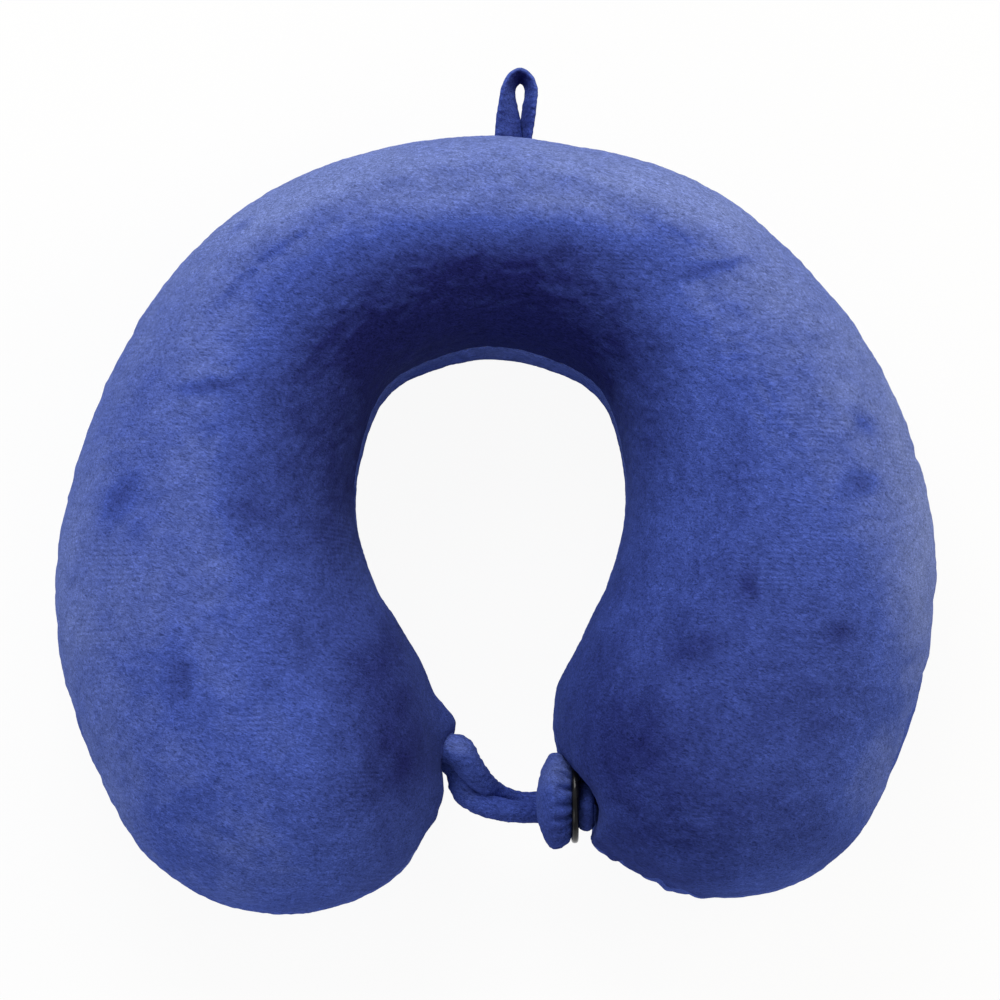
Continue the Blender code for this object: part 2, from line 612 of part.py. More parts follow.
def make_closure_loop(button, button_widest):
    """Velour tube with an elastic cord, from the left lobe under the button's head and round its shank."""
    hub = button.location
    roots = []
    for rise in (LOOP_ROOT_RISE, -LOOP_ROOT_RISE):
        forward = LOOP_ROOT_FORWARD - math.copysign(LOOP_ROOT_LEAN / 2, rise)
        wall = wall_point((0.0, -forward, SEAM_HEIGHT + rise), (-1.0, 0.0, 0.0))
        roots.append(wall + Vector((LOOP_ROOT_GAP, 0.0, 0.0)))

    under_head = hub.z - BUTTON_RADIUS - LOOP_RADIUS - LOOP_HEAD_CLEARANCE
    head_x = hub.x - button_widest
    bight_x = hub.x + LOOP_BIGHT_RADIUS + LOOP_BIGHT_CLEARANCE
    behind_plate = hub.z - PLATE_RADIUS
    strands = []
    for root, side, sags in zip(roots, (1, -1), (UPPER_STRAND_SAG, LOWER_STRAND_SAG)):
        near = hub.y + side * LOOP_STRAND_SPACING / 2
        bight = hub.y + side * LOOP_BIGHT_SPACING / 2
        rim = Vector((head_x, near, under_head))
        hanging = [root.lerp(rim, share) + Vector((0.0, -forward, above)) for share, forward, above in sags]
        leaving = root + Vector((LOOP_RADIUS, 0.0, 0.0))
        strands.append([root, leaving, *hanging, rim,
                        Vector((hub.x, (near + bight) / 2, under_head + LOOP_RADIUS / 2)),
                        Vector((bight_x, bight, behind_plate)), Vector((bight_x, bight, hub.z))])
    over_shank = Vector((bight_x, hub.y, hub.z + SHANK_RADIUS + LOOP_BIGHT_RADIUS + LOOP_BIGHT_CLEARANCE
                         + LOOP_BIGHT_RISE))
    route = smooth_route([*strands[0], over_shank, *reversed(strands[1])], LOOP_STEPS)
    radii = []
    for place in route:
        share = max(0.0, min(1.0, (place.x - head_x) / (bight_x - head_x)))
        radii.append(LOOP_RADIUS + (LOOP_BIGHT_RADIUS - LOOP_RADIUS) * share)

    anchor = (roots[0] + roots[1]) / 2
    axis = add_empty("closure_loop_axis", PILLOW, anchor)
    local = [place - anchor for place in route]
    # The bore runs a little past both ends of the sleeve, so that it opens there
    bored = [local[0] * 2 - local[1], *local[1:-1], local[-1] * 2 - local[-2]]
    rough = add_cutter("loop_outside", tube_curve("loop_outside", local, radii), axis)
    bore = add_cutter("loop_bore", tube_curve("loop_bore", bored, [LOOP_BORE_RADIUS] * len(bored)), axis)
    bpy.context.view_layer.update()
    sleeve = add_part("closure_loop_sleeve", curve_to_mesh(rough), VELOUR, axis)
    combine(sleeve, add_cutter("loop_bore", curve_to_mesh(bore), axis), "DIFFERENCE")
    cord = tube_curve("closure_loop_elastic", local, [ELASTIC_RADIUS] * len(local))
    add_part("closure_loop_elastic", cord, ELASTIC, axis)
    return axis


def make_zip_row(side, name):
    """Tape, teeth and top stop on one side of the zip; side is 1 at the back and -1 at the front."""
    inner = ZIP_TAPE_SPLIT / 2
    edges = sorted((ZIP_BACKWARD + side * inner, ZIP_BACKWARD + side * (inner + ZIP_TAPE_WIDTH)))
    reach = ZIP_LENGTH / 2 + ZIP_TAPE_OVERRUN
    tape = box_mesh("zip_tape_" + name, (-reach, edges[0], TAPE_BOTTOM), (reach, edges[1], TAPE_TOP))
    add_part("zip_tape_" + name, tape, TAPE)

    start = -CHAIN_END
    count = int((2 * CHAIN_END - TOOTH_PITCH) / TOOTH_PITCH)
    first = start + (TOOTH_PITCH / 2 if side < 0 else 0.0)
    outline = [(start, side * (TOOTH_ROOT + TOOTH_SPINE)), (start, side * TOOTH_ROOT)]
    for number in range(count):
        left = first + TOOTH_PITCH * number + RUN_GAP
        right = left + TOOTH_WIDTH
        outline += [(left, side * TOOTH_ROOT), (left, -side * TOOTH_REACH),
                    (right, -side * TOOTH_REACH), (right, side * TOOTH_ROOT)]
    outline += [(CHAIN_END, side * TOOTH_ROOT), (CHAIN_END, side * (TOOTH_ROOT + TOOTH_SPINE))]
    add_part("zip_teeth_" + name, flat_curve("zip_teeth_" + name, outline, TOOTH_HEIGHT), TEETH, PILLOW,
             (0.0, ZIP_BACKWARD, (TEETH_BOTTOM + TEETH_TOP) / 2))

    stop_start = SLIDER_REST + SLIDER_LENGTH / 2 + RUN_GAP
    stop_sides = sorted((ZIP_BACKWARD + side * TOOTH_ROOT, ZIP_BACKWARD + side * (TOOTH_ROOT + TOOTH_SPINE)))
    stop = box_mesh("zip_top_stop_" + name, (stop_start, stop_sides[0], TEETH_BOTTOM),
                    (stop_start + STOP_LENGTH, stop_sides[1], TEETH_TOP))
    add_part("zip_top_stop_" + name, stop, METAL)


def make_zip_bottom_stop():
    """Clip across both rows at the far end of the zip."""
    wide = TOOTH_ROOT + TOOTH_SPINE
    end = -CHAIN_END - RUN_GAP
    clip = box_mesh("zip_bottom_stop", (end - STOP_LENGTH, ZIP_BACKWARD - wide, TEETH_BOTTOM),
                    (end, ZIP_BACKWARD + wide, TEETH_TOP))
    add_part("zip_bottom_stop", clip, METAL)


def make_zip_slider():
    """Two plates on a divider that stands ahead of the teeth, with a bail below for the pull."""
    axis = add_empty("zip_slider_axis", PILLOW, (SLIDER_REST, ZIP_BACKWARD, PULL_AXIS_HEIGHT))
    half_length = SLIDER_LENGTH / 2
    half_width = SLIDER_WIDTH / 2
    low = SLIDER_BOTTOM - PULL_AXIS_HEIGHT
    high = SLIDER_TOP - PULL_AXIS_HEIGHT
    lower_plate = box_mesh("zip_slider", (-half_length, -half_width, low),
                           (half_length, half_width, low + SLIDER_PLATE))
    slider = add_part("zip_slider", lower_plate, METAL, axis)
    upper_plate = box_mesh("slider_top", (-half_length, -half_width, high - SLIDER_PLATE),
                           (half_length, half_width, high))
    divider = box_mesh("slider_divider",
                       (half_length - DIVIDER_LENGTH, -DIVIDER_WIDTH / 2, low + JOIN_OVERLAP),
                       (half_length - JOIN_OVERLAP, DIVIDER_WIDTH / 2, high - JOIN_OVERLAP))
    combine(slider, add_cutter("slider_divider", divider, axis), "UNION")
    combine(slider, add_cutter("slider_top", upper_plate, axis), "UNION")
    bar = round_mesh("slider_bail", BAIL_RADIUS, BAIL_LENGTH, "Y")
    for side in (-1, 1):
        sides = sorted((side * (BAIL_LENGTH / 2 - BAIL_POST), side * (BAIL_LENGTH / 2 + JOIN_OVERLAP)))
        post = box_mesh("slider_post", (-BAIL_RADIUS - JOIN_OVERLAP, sides[0], -BAIL_RADIUS - JOIN_OVERLAP),
                        (BAIL_RADIUS + JOIN_OVERLAP, sides[1], low + JOIN_OVERLAP))
        combine(slider, add_cutter("slider_post", post, axis), "UNION")
    combine(slider, add_cutter("slider_bail", bar, axis), "UNION")
    return axis


def make_zip_pull(slider_axis):
    """Flat tab on an eye that turns on the slider's bail, lying back along the closed teeth."""
    axis = add_empty("zip_pull_axis", slider_axis, (0.0, 0.0, 0.0))
    pull = add_part("zip_pull", round_mesh("zip_pull", PULL_EYE_RADIUS, PULL_EYE_LENGTH, "Y"), METAL, axis)
    half_thickness = PULL_TAB_THICKNESS / 2
    neck = box_mesh("pull_neck",
                    (-PULL_NECK_LENGTH - JOIN_OVERLAP, -PULL_EYE_LENGTH / 2 + JOIN_OVERLAP, -half_thickness),
                    (0.0, PULL_EYE_LENGTH / 2 - JOIN_OVERLAP, half_thickness))
    tab = box_mesh("pull_tab", (-PULL_REACH, -PULL_TAB_WIDTH / 2, -half_thickness - JOIN_OVERLAP / 2),
                   (-PULL_NECK_LENGTH, PULL_TAB_WIDTH / 2, half_thickness + JOIN_OVERLAP / 2))
    hole = round_mesh("pull_hole", PULL_EYE_BORE, 2 * PULL_EYE_LENGTH, "Y")
    combine(pull, add_cutter("pull_neck", neck, axis), "UNION")
    combine(pull, add_cutter("pull_tab", tab, axis), "UNION")
    combine(pull, add_cutter("pull_hole", hole, axis), "DIFFERENCE")
    return axis


make_core()
make_cover()
make_seam()
hang_axis, back_edge = make_hang_loop()
button_axis, widest_line = make_button()
loop_axis = make_closure_loop(button_axis, widest_line)
for row_side, row_name in ((-1, "front"), (1, "back")):
    make_zip_row(row_side, row_name)
make_zip_bottom_stop()
slider_axis = make_zip_slider()
pull_axis = make_zip_pull(slider_axis)

PILLOW.location = (-(LEFT_EDGE + RIGHT_EDGE) / 2, -(FRONT_EDGE + back_edge) / 2, 0.0)
bpy.context.view_layer.update()
for joint in (hang_axis, button_axis, loop_axis, slider_axis, pull_axis):
    print(joint.name, [round(value, 5) for value in joint.matrix_world.translation])
print("zip travel", round(SLIDER_REST - SLIDER_FAR, 5))
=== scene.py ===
"""Looks of a U-shaped travel neck pillow in blue velour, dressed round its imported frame, in metres."""

import json
import math

import bmesh
import bpy
import numpy as np
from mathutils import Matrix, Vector


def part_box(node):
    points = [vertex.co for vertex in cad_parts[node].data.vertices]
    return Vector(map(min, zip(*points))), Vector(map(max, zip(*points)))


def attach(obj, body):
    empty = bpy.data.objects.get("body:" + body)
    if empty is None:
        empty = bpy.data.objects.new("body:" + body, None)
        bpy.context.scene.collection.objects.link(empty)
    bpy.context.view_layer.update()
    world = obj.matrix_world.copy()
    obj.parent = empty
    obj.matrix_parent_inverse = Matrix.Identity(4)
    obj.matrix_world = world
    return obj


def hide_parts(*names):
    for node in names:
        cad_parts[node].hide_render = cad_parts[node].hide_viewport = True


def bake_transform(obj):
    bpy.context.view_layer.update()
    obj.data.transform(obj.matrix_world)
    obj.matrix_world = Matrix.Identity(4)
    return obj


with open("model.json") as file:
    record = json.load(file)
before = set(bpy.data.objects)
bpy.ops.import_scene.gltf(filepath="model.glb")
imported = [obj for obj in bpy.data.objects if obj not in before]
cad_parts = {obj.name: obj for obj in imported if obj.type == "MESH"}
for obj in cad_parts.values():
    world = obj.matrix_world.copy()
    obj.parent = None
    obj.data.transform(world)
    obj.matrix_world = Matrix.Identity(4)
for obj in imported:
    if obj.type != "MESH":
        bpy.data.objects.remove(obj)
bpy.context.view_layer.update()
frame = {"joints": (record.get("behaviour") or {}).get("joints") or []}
joint_places = {joint["name"]: np.array(joint.get("pos_m", (0.0, 0.0, 0.0))) for joint in frame["joints"]}


# Foam core: one block of memory foam, moulded in the shape of the U, cream and open-celled.
# It gives the pillow its shape and lies loose in the cover. Underneath it has a shallow channel
# where the zip lies.
OUTER_RADIUS = 0.1525
OUTER_CENTRE_FORWARD = 0.0300
NECK_BACK_RADIUS = 0.0460
NECK_FRONT_RADIUS = 0.0530
NECK_CENTRE_LEFT = 0.0010
NECK_WIDENING_POWER = 6.0
SHOULDER_ANGLE = math.radians(135)
LEFT_TIP_ANGLE = math.radians(170)
RIGHT_TIP_ANGLE = math.radians(167.5)
LEFT_TIP_RADIUS = 0.1035
RIGHT_TIP_RADIUS = 0.093
LEFT_TIP_POWER = 2.1
RIGHT_TIP_POWER = 1.9
TIP_HEIGHT_POWER = 2.6
TIP_BEND_POWER = 3.7
SEAM_HEIGHT = 0.046
CREST_HEIGHT_BACK = 0.096
CREST_HEIGHT_FRONT = 0.102
UNDERSIDE_FLATTENING = 0.008
CROWN_POWER = 2.3
UNDERSIDE_POWER = 3.0
NECK_WALL_POWER = 4.5
NECK_ROLL = 0.0020
NECK_ROLL_SPREAD = 38.0
DIMPLE_PLACE = np.array((0.045, -0.1075, 0.046))
DIMPLE_SIZE = np.array((0.015, 0.0120, 0.026))
DIMPLE_DEPTH = 0.0072
ZIP_BEHIND_NECK_CENTRE = 0.0720

# Where the filled pillow stands out from its even shape: degrees round the U, half spread and how far, for
# its outer and inner edges
OUTSIDE_SWELLS = ((-143, 15, 0.0024), (-83, 18, -0.0031), (-40, 17, 0.0017), (0, 12, 0.0006),
                  (14, 10, -0.0010), (36, 16, 0.0010), (53, 9, -0.0009), (108, 16, 0.0009),
                  (134, 12, 0.0028))
INSIDE_SWELLS = ((-130, 14, 0.0003), (-45, 18, -0.0036), (0, 34, -0.0030), (46, 20, -0.0044),
                 (118, 18, 0.0006), (143, 8, -0.0003))

# Where it is pushed out of that shape: place, half sizes and push. The first is a knob over the closure
# loop's root, the next three fill the left lobe's front, and the last three fill the right lobe beside the
# button
BULGES = (((-0.0185, -0.0812, 0.046), (0.0110, 0.0088, 0.014), (0.0074, 0.0003, 0.0)),
          ((-0.0200, -0.1065, 0.046), (0.0130, 0.0120, 0.024), (0.0050, 0.0, 0.0)),
          ((-0.0360, -0.1270, 0.046), (0.0200, 0.0180, 0.032), (0.0018, -0.0014, 0.0)),
          ((-0.0255, -0.0620, 0.046), (0.0120, 0.0090, 0.024), (0.0014, 0.0, 0.0)),
          ((0.0250, -0.0660, 0.046), (0.0120, 0.0100, 0.024), (-0.0020, 0.0, 0.0)),
          ((0.0230, -0.0890, 0.044), (0.0100, 0.0090, 0.014), (-0.0020, 0.0, 0.0)),
          ((0.0365, -0.1212, 0.046), (0.0120, 0.0085, 0.026), (-0.0064, -0.0010, 0.0)))

WELD_DISTANCE = 1e-6
FOAM_RINGS = 160
FOAM_POINTS = 72
FOAM_BELOW_COVER = 0.0055
FOAM_COLOUR = (0.80, 0.71, 0.50, 1.0)
# Painted shade in the foam's pores
FOAM_PORE_SHADE = (0.66, 0.56, 0.37, 1.0)
ZIP_CHANNEL_HALF = np.array((0.076, 0.0152))
ZIP_CHANNEL_HEIGHT = 0.0105


def rounded_quarter(share, power):
    """Falls from 1 to 0 as the share goes from 0 to 1, along a quarter of a superellipse."""
    return np.maximum(0.0, 1.0 - share ** power) ** (1.0 / power)


def swelling(angle, swells):
    """How far an edge stands out at angles round the U: a sum of bells."""
    degrees = np.degrees(angle)
    return sum(height * np.exp(-((degrees - place) / spread) ** 2) for place, spread, height in swells)


def pillow_surface(angle, turn):
    """Points of the pillow's outside at angles round the U, from the back, and turns round its section.

    The U lies between an outer circle that is set forward of the neck and an inner one that widens to the
    front. Past the shoulders its width and height close in along rounded quarters, while its middle bends to
    the tip. The section is a superellipse about the seam, fuller below than above, and flat on the table.
    Both edges stand out or in by small swells, and below the seam the wall behind the neck rolls in. The
    right lobe has a dimple, a flat-topped bell of a push to the right where the button's thread draws it in.
    """
    bearing = np.clip(angle, -SHOULDER_ANGLE, SHOULDER_ANGLE)
    outer = (np.sqrt(OUTER_RADIUS ** 2 - (OUTER_CENTRE_FORWARD * np.sin(bearing)) ** 2)
             - OUTER_CENTRE_FORWARD * np.cos(bearing))
    widening = (np.abs(bearing) / SHOULDER_ANGLE) ** NECK_WIDENING_POWER
    inner = (NECK_BACK_RADIUS + (NECK_FRONT_RADIUS - NECK_BACK_RADIUS) * widening
             - NECK_CENTRE_LEFT * np.sin(bearing))
    right = angle > 0.0
    tip_angle = np.where(right, RIGHT_TIP_ANGLE, LEFT_TIP_ANGLE)
    share = np.clip((np.abs(angle) - SHOULDER_ANGLE) / (tip_angle - SHOULDER_ANGLE), 0.0, 1.0)
    middle = (outer + inner) / 2
    middle = middle + (np.where(right, RIGHT_TIP_RADIUS, LEFT_TIP_RADIUS) - middle) * share ** TIP_BEND_POWER
    tip_power = np.where(right, RIGHT_TIP_POWER, LEFT_TIP_POWER)
    closing = rounded_quarter(share, tip_power)
    half_width = (outer - inner) / 2 * closing
    above = np.sin(turn) >= 0.0
    below = np.where(np.cos(turn) < 0.0, NECK_WALL_POWER, UNDERSIDE_POWER)
    power = np.where(above, CROWN_POWER, below)
    across = np.sign(np.cos(turn)) * np.abs(np.cos(turn)) ** (2 / power)
    up = np.sign(np.sin(turn)) * np.abs(np.sin(turn)) ** (2 / power)
    crest = CREST_HEIGHT_BACK + (CREST_HEIGHT_FRONT - CREST_HEIGHT_BACK) * np.sin(angle / 2) ** 2
    rise = np.where(above, crest - SEAM_HEIGHT, SEAM_HEIGHT + UNDERSIDE_FLATTENING)
    radius = middle + half_width * across
    radius = radius + closing * (swelling(angle, OUTSIDE_SWELLS) * (1.0 + across) / 2
                                 - swelling(angle, INSIDE_SWELLS) * (1.0 - across) / 2)
    lower = np.sin(np.clip(-up, 0.0, 1.0) * math.pi * 0.75)
    roll = np.exp(-(np.degrees(angle) / NECK_ROLL_SPREAD) ** 2) * lower
    radius = radius - NECK_ROLL * roll * np.maximum(0.0, -across)
    x = radius * np.sin(angle)
    y = radius * np.cos(angle)
    z = np.maximum(0.0, SEAM_HEIGHT + rise * rounded_quarter(share, TIP_HEIGHT_POWER) * up)
    places = np.stack([x, y, z], axis=-1)
    away = ((places - DIMPLE_PLACE) / DIMPLE_SIZE) ** 2
    away[..., 0] = np.where(x > DIMPLE_PLACE[0], away[..., 0], 0.0)
    drawn = np.exp(-away[..., 0] - (away[..., 1] + away[..., 2]) ** 2)
    places[..., 0] += np.where(x > 0.0, DIMPLE_DEPTH * drawn, 0.0)
    return places


def bulged(places):
    """Places pushed out by the pillow's bulges, each a bell."""
    for middle, size, push in BULGES:
        bell = np.exp(-np.sum(((places - np.array(middle)) / np.array(size)) ** 2, axis=-1, keepdims=True))
        places = places + bell * np.array(push)
    return places


def grid_turns(rings, points):
    """Angles and turns of a grid over the whole outside: rings crowd to the tips, points are even."""
    even = np.linspace(-1.0, 1.0, rings)
    crowded = np.sin(even * math.pi / 2)
    spread = 0.5 * even + 0.5 * crowded
    angle = np.where(spread < 0.0, spread * LEFT_TIP_ANGLE, spread * RIGHT_TIP_ANGLE)
    turn = np.linspace(0.0, 2 * math.pi, points, endpoint=False)
    return angle[:, None], turn[None, :]


def grid_normals(points):
    """Unit normals of a grid that closes round its rows: the cross product of its two directions."""
    along = np.gradient(points, axis=0)
    around = (np.roll(points, -1, axis=1) - np.roll(points, 1, axis=1)) / 2
    normal = np.cross(along, around)
    length = np.linalg.norm(normal, axis=-1, keepdims=True)
    return normal / np.maximum(length, 1e-12)


def inset(points, depth):
    """A grid of the pillow moved in along its normals.

    Its end rows are poles, which have no normal, so each goes to the middle of the next row.
    """
    normals = grid_normals(points)
    outward = np.sign(normals[len(points) // 2, 0, 1])
    moved = points - normals * outward * depth
    moved[0], moved[-1] = moved[1].mean(axis=0), moved[-2].mean(axis=0)
    return moved


def mesh_from(name, points, corners, starts):
    """A mesh from arrays: points, the faces' corners in a row, and where each face starts in that row."""
    mesh = bpy.data.meshes.new(name)
    mesh.vertices.add(len(points))
    mesh.vertices.foreach_set("co", np.asarray(points, np.float32).ravel())
    mesh.loops.add(len(corners))
    mesh.loops.foreach_set("vertex_index", np.asarray(corners, np.int32))
    mesh.polygons.add(len(starts))
    mesh.polygons.foreach_set("loop_start", np.asarray(starts, np.int32))
    mesh.update(calc_edges=True)
    mesh.shade_smooth()
    return mesh


def add_object(name, mesh):
    """An object of a mesh, at the origin, in the scene."""
    made = bpy.data.objects.new(name, mesh)
    bpy.context.scene.collection.objects.link(made)
    return made


def grid_object(name, points):
    """An object from a grid that closes round its rows; a row drawn to a point becomes a pole."""
    rows, columns = points.shape[:2]
    index = np.arange(rows * columns).reshape(rows, columns)
    index = np.concatenate([index, index[:, :1]], axis=1)
    faces = np.stack([index[:-1, :-1], index[1:, :-1], index[1:, 1:], index[:-1, 1:]], axis=-1)
    mesh = mesh_from(name, points.reshape(-1, 3), faces.ravel(), np.arange(0, faces.size, 4))
    shape = bmesh.new()
    shape.from_mesh(mesh)
    bmesh.ops.remove_doubles(shape, verts=shape.verts, dist=WELD_DISTANCE)
    if shape.calc_volume(signed=True) < 0.0:
        bmesh.ops.reverse_faces(shape, faces=shape.faces)
    shape.to_mesh(mesh)
    shape.free()
    return add_object(name, mesh)


def new_material(name):
    """A material with a Principled shader; returns it, its nodes' maker, its linker and the shader."""
    material = bpy.data.materials.new(name)
    material.use_nodes = True
    tree = material.node_tree
    return material, tree.nodes.new, tree.links.new, tree.nodes["Principled BSDF"]


def colour_ramp(make, link, source, *stops):
    """A ramp of colours over a source value, from pairs of place and colour; returns its colour."""
    ramp = make("ShaderNodeValToRGB")
    elements = ramp.color_ramp.elements
    elements[0].position, elements[0].color = stops[0]
    elements[1].position, elements[1].color = stops[-1]
    for place, colour in stops[1:-1]:
        elements.new(place).color = colour
    link(source, ramp.inputs["Fac"])
    return ramp.outputs["Color"]


def set_bump(make, link, shader, height, strength, distance):
    """Roughen a shader's normal by a height."""
    bump = make("ShaderNodeBump")
    bump.inputs["Strength"].default_value = strength
    bump.inputs["Distance"].default_value = distance
    link(height, bump.inputs["Height"])
    link(bump.outputs["Normal"], shader.inputs["Normal"])


def foam_material():
    """Cream open-celled foam: pores with painted shade in their depth, and a soft bump."""
    material, make, link, shader = new_material("cream_foam")
    place = make("ShaderNodeTexCoord")
    pores = make("ShaderNodeTexVoronoi")
    pores.inputs["Scale"].default_value = 700.0
    link(place.outputs["Object"], pores.inputs["Vector"])
    link(colour_ramp(make, link, pores.outputs["Distance"], (0.05, FOAM_PORE_SHADE), (0.5, FOAM_COLOUR)),
         shader.inputs["Base Color"])
    set_bump(make, link, shader, pores.outputs["Distance"], 0.5, 0.0004)
    shader.inputs["Roughness"].default_value = 0.95
    shader.inputs["Specular IOR Level"].default_value = 0.2
    return material


# The formula is measured from the neck's centre, which the zip's place on the frame gives
zip_line = joint_places["zip_pull_flip"][1]
frame_shift = np.array((0.0, zip_line - ZIP_BEHIND_NECK_CENTRE, 0.0))

foam_points = pillow_surface(*grid_turns(FOAM_RINGS, FOAM_POINTS))
foam_points = bulged(inset(foam_points, FOAM_BELOW_COVER) + frame_shift)
from_channel = np.abs(foam_points[..., :2] - np.array((0.0, zip_line))) / ZIP_CHANNEL_HALF
in_channel = np.all(from_channel < 1.0, axis=-1) & (foam_points[..., 2] < ZIP_CHANNEL_HEIGHT)
foam_points[..., 2] = np.where(in_channel, ZIP_CHANNEL_HEIGHT, foam_points[..., 2])
foam_core = grid_object("memory_foam_core", foam_points)
foam_core.data.materials.append(foam_material())
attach(foam_core, "pillow")
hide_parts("foam_core")


# Velour cover: two panels of short-pile velour, sewn together face to face and turned out over the foam.
# The cloth swells a little over the foam, and the seam's thread draws it in, which gathers it into small
# puckers. The lower panel has a slot with turned-in edges for the zip.
COVER_RINGS = 260
COVER_POINTS = 120
CLOTH_VOXEL = 0.0040
CLOTH_SLACK = 0.0025
NECK_SNUG = 0.70
CLOTH_FRAMES = 20
CLOTH_PRESSURE = 4.0
CLOTH_FULLNESS = 0.035
CLOTH_SWELL = 0.0027
CLOTH_SINK = 0.0003
CLOTH_DRIFT = 0.0020
NECK_CALM = 0.20
SEAM_HOLD = 0.0022
REST_HEIGHT = 0.0006
PILE_LENGTH = 0.00030
PILE_TUFT = 0.0020
PILE_CLUMP = 0.0050
PILE_PRESSED_HEIGHT = 0.004
PILE_PRESSED_SHARE = 0.25
SEAM_DEPTH = 0.0008
SEAM_WIDTH = 0.0020
SEAM_WAVER = 0.0008
SEAM_WAVER_LENGTH = 0.030
SEAM_ALLOWANCE = 0.0030
PUCKER_HEIGHT = 0.0019
PUCKER_PITCH = 0.0060
PUCKER_REACH = 0.0150
PUCKER_LEAST = 0.06
TIGHT_SEAM_PLACE = np.array((0.054, -0.130))
TIGHT_SEAM_SIZE = 0.022
BODY_DENTS = 0.0005
BODY_DENT_SIZE = 0.050
DENT_FADE_HEIGHT = 0.010
ZIP_SLOT_HALF = np.array((0.0655, 0.0050))
ZIP_SLOT_RISE = 0.0062

# The ramp's colours: the navy end carries painted shade, and the pale brushed blue carries both brushed pile
# and painted sheen
NAVY = (0.013, 0.016, 0.103, 1.0)
ROYAL = (0.057, 0.093, 0.380, 1.0)
BRUSHED_AND_SHEEN = (0.165, 0.218, 0.510, 1.0)
SHEEN_TINT = (0.30, 0.42, 1.0, 1.0)

# The pile lies forward and in towards the neck, and painted light and shade stand in for how it catches the
# light: slopes that face the back and the outside are painted light, and those that face the front and the
# neck are painted dark
PAINTED_SHADE_FORWARD = 0.55
PAINTED_SHADE_INWARD = 0.60
PAINTED_LIGHT_OUTWARD = 0.12

# The lower panel takes a smaller share of the painted shade than the top, and painted light makes it
# lighter, most of all behind the neck
TOP_FACING_SHADE = 1.0
LOWER_FACING_SHADE = 0.40
LOWER_DRIFTS = ((0.0, 0.0, 1.0, 1.0, 0.14), (0.0, 0.030, 0.065, 0.060, 0.48))

# Broad drifts in the nap, with painted light and shade: the dark ones paint shade on the inner slopes behind
# the neck and beside the loop, and the light ones paint sheen along the outer rims. Each gives a place
# across and along the top, half sizes, and how much lighter it is there
NAP_AND_SHADE_DRIFTS = ((0.000, 0.076, 0.068, 0.014, -0.65), (-0.052, 0.052, 0.022, 0.024, -0.34),
              (-0.074, 0.030, 0.016, 0.032, -0.28), (0.046, 0.062, 0.025, 0.025, -0.16),
              (0.000, 0.100, 0.065, 0.014, 0.26), (-0.080, 0.090, 0.050, 0.040, 0.46),
              (0.066, 0.084, 0.040, 0.030, 0.34), (0.130, 0.022, 0.024, 0.032, 0.34),
              (0.100, -0.020, 0.045, 0.060, -0.18), (0.150, -0.030, 0.016, 0.055, 0.75),
              (0.055, -0.008, 0.025, 0.050, 0.22), (0.100, -0.080, 0.040, 0.035, -0.26),
              (0.045, -0.090, 0.028, 0.034, -0.42), (0.075, -0.118, 0.045, 0.030, -0.15),
              (0.138, -0.106, 0.016, 0.026, 0.60), (0.110, -0.138, 0.030, 0.010, 0.40),
              (-0.060, -0.020, 0.022, 0.050, -0.15), (-0.125, -0.010, 0.030, 0.050, 0.14),
              (-0.147, -0.045, 0.014, 0.050, 0.40), (-0.132, -0.106, 0.016, 0.030, 0.50),
              (-0.085, -0.142, 0.055, 0.025, 0.36), (-0.032, -0.092, 0.022, 0.036, -0.62))

# Smaller random drifts: strength, how the place is scaled, size and seed
NAP_WANDERS = ((0.15, (1.0, 0.7, 1.0), 0.045, 21), (0.11, (0.8, 1.0, 1.0), 0.016, 22),
               (0.09, (1.0, 1.0, 1.0), 0.006, 23))

# Marks that hands have left in the nap: place across and along the top, half length along its stroke, half
# width, the stroke's direction in degrees and how dark it is
NAP_MARKS = ((0.1236, -0.0026, 0.0058, 0.0046, 30, 0.60), (0.126, 0.019, 0.0062, 0.0036, 120, 0.45),
             (0.086, -0.037, 0.0075, 0.0036, 80, 0.50), (-0.126, -0.006, 0.0080, 0.0042, 60, 0.45),
             (-0.105, -0.068, 0.0090, 0.0048, 100, 0.50), (-0.095, 0.031, 0.0100, 0.0022, 5, 0.60),
             (0.075, 0.072, 0.0120, 0.0022, 12, 0.60), (0.1174, -0.052, 0.0060, 0.0045, 40, 0.40),
             (0.068, -0.059, 0.0100, 0.0060, 20, 0.35), (-0.084, -0.010, 0.0090, 0.0050, -20, 0.30),
             (-0.086, 0.088, 0.0050, 0.0022, 40, 0.50), (-0.039, -0.059, 0.0120, 0.0080, 60, 0.25))
MARK_UNEVENNESS = 0.0018
MARK_UNEVEN_SIZE = 0.005


def lattice_noise(points, cell, seed):
    """A smooth random field from -1 to 1: random values at cubes' corners, blended across each cube."""
    table = np.random.default_rng(seed).uniform(-1.0, 1.0, 65536)
    place = points / cell
    corner = np.floor(place).astype(np.int64)
    share = place - corner
    share = share * share * (3.0 - 2.0 * share)
    total = np.zeros(points.shape[:-1])
    for step in range(8):
        offset = np.array((step & 1, step >> 1 & 1, step >> 2 & 1))
        key = (corner + offset) @ np.array((73856093, 19349663, 83492791))
        weight = np.prod(np.where(offset == 1, share, 1.0 - share), axis=-1)
        total += weight * table[(key ^ key >> 13) % 65536]
    return total


def mesh_arrays(mesh):
    """A mesh as arrays: points, their normals, the faces' corners in a row and where each face starts."""
    points = np.empty(len(mesh.vertices) * 3)
    normals = np.empty(len(mesh.vertices) * 3)
    corners = np.empty(len(mesh.loops), np.int32)
    starts = np.empty(len(mesh.polygons), np.int32)
    mesh.vertices.foreach_get("co", points)
    mesh.vertex_normals.foreach_get("vector", normals)
    mesh.loops.foreach_get("vertex_index", corners)
    mesh.polygons.foreach_get("loop_start", starts)
    return points.reshape(-1, 3), normals.reshape(-1, 3), corners, starts


def unit(vectors):
    """Vectors at length 1."""
    return vectors / np.maximum(np.linalg.norm(vectors, axis=-1, keepdims=True), 1e-12)


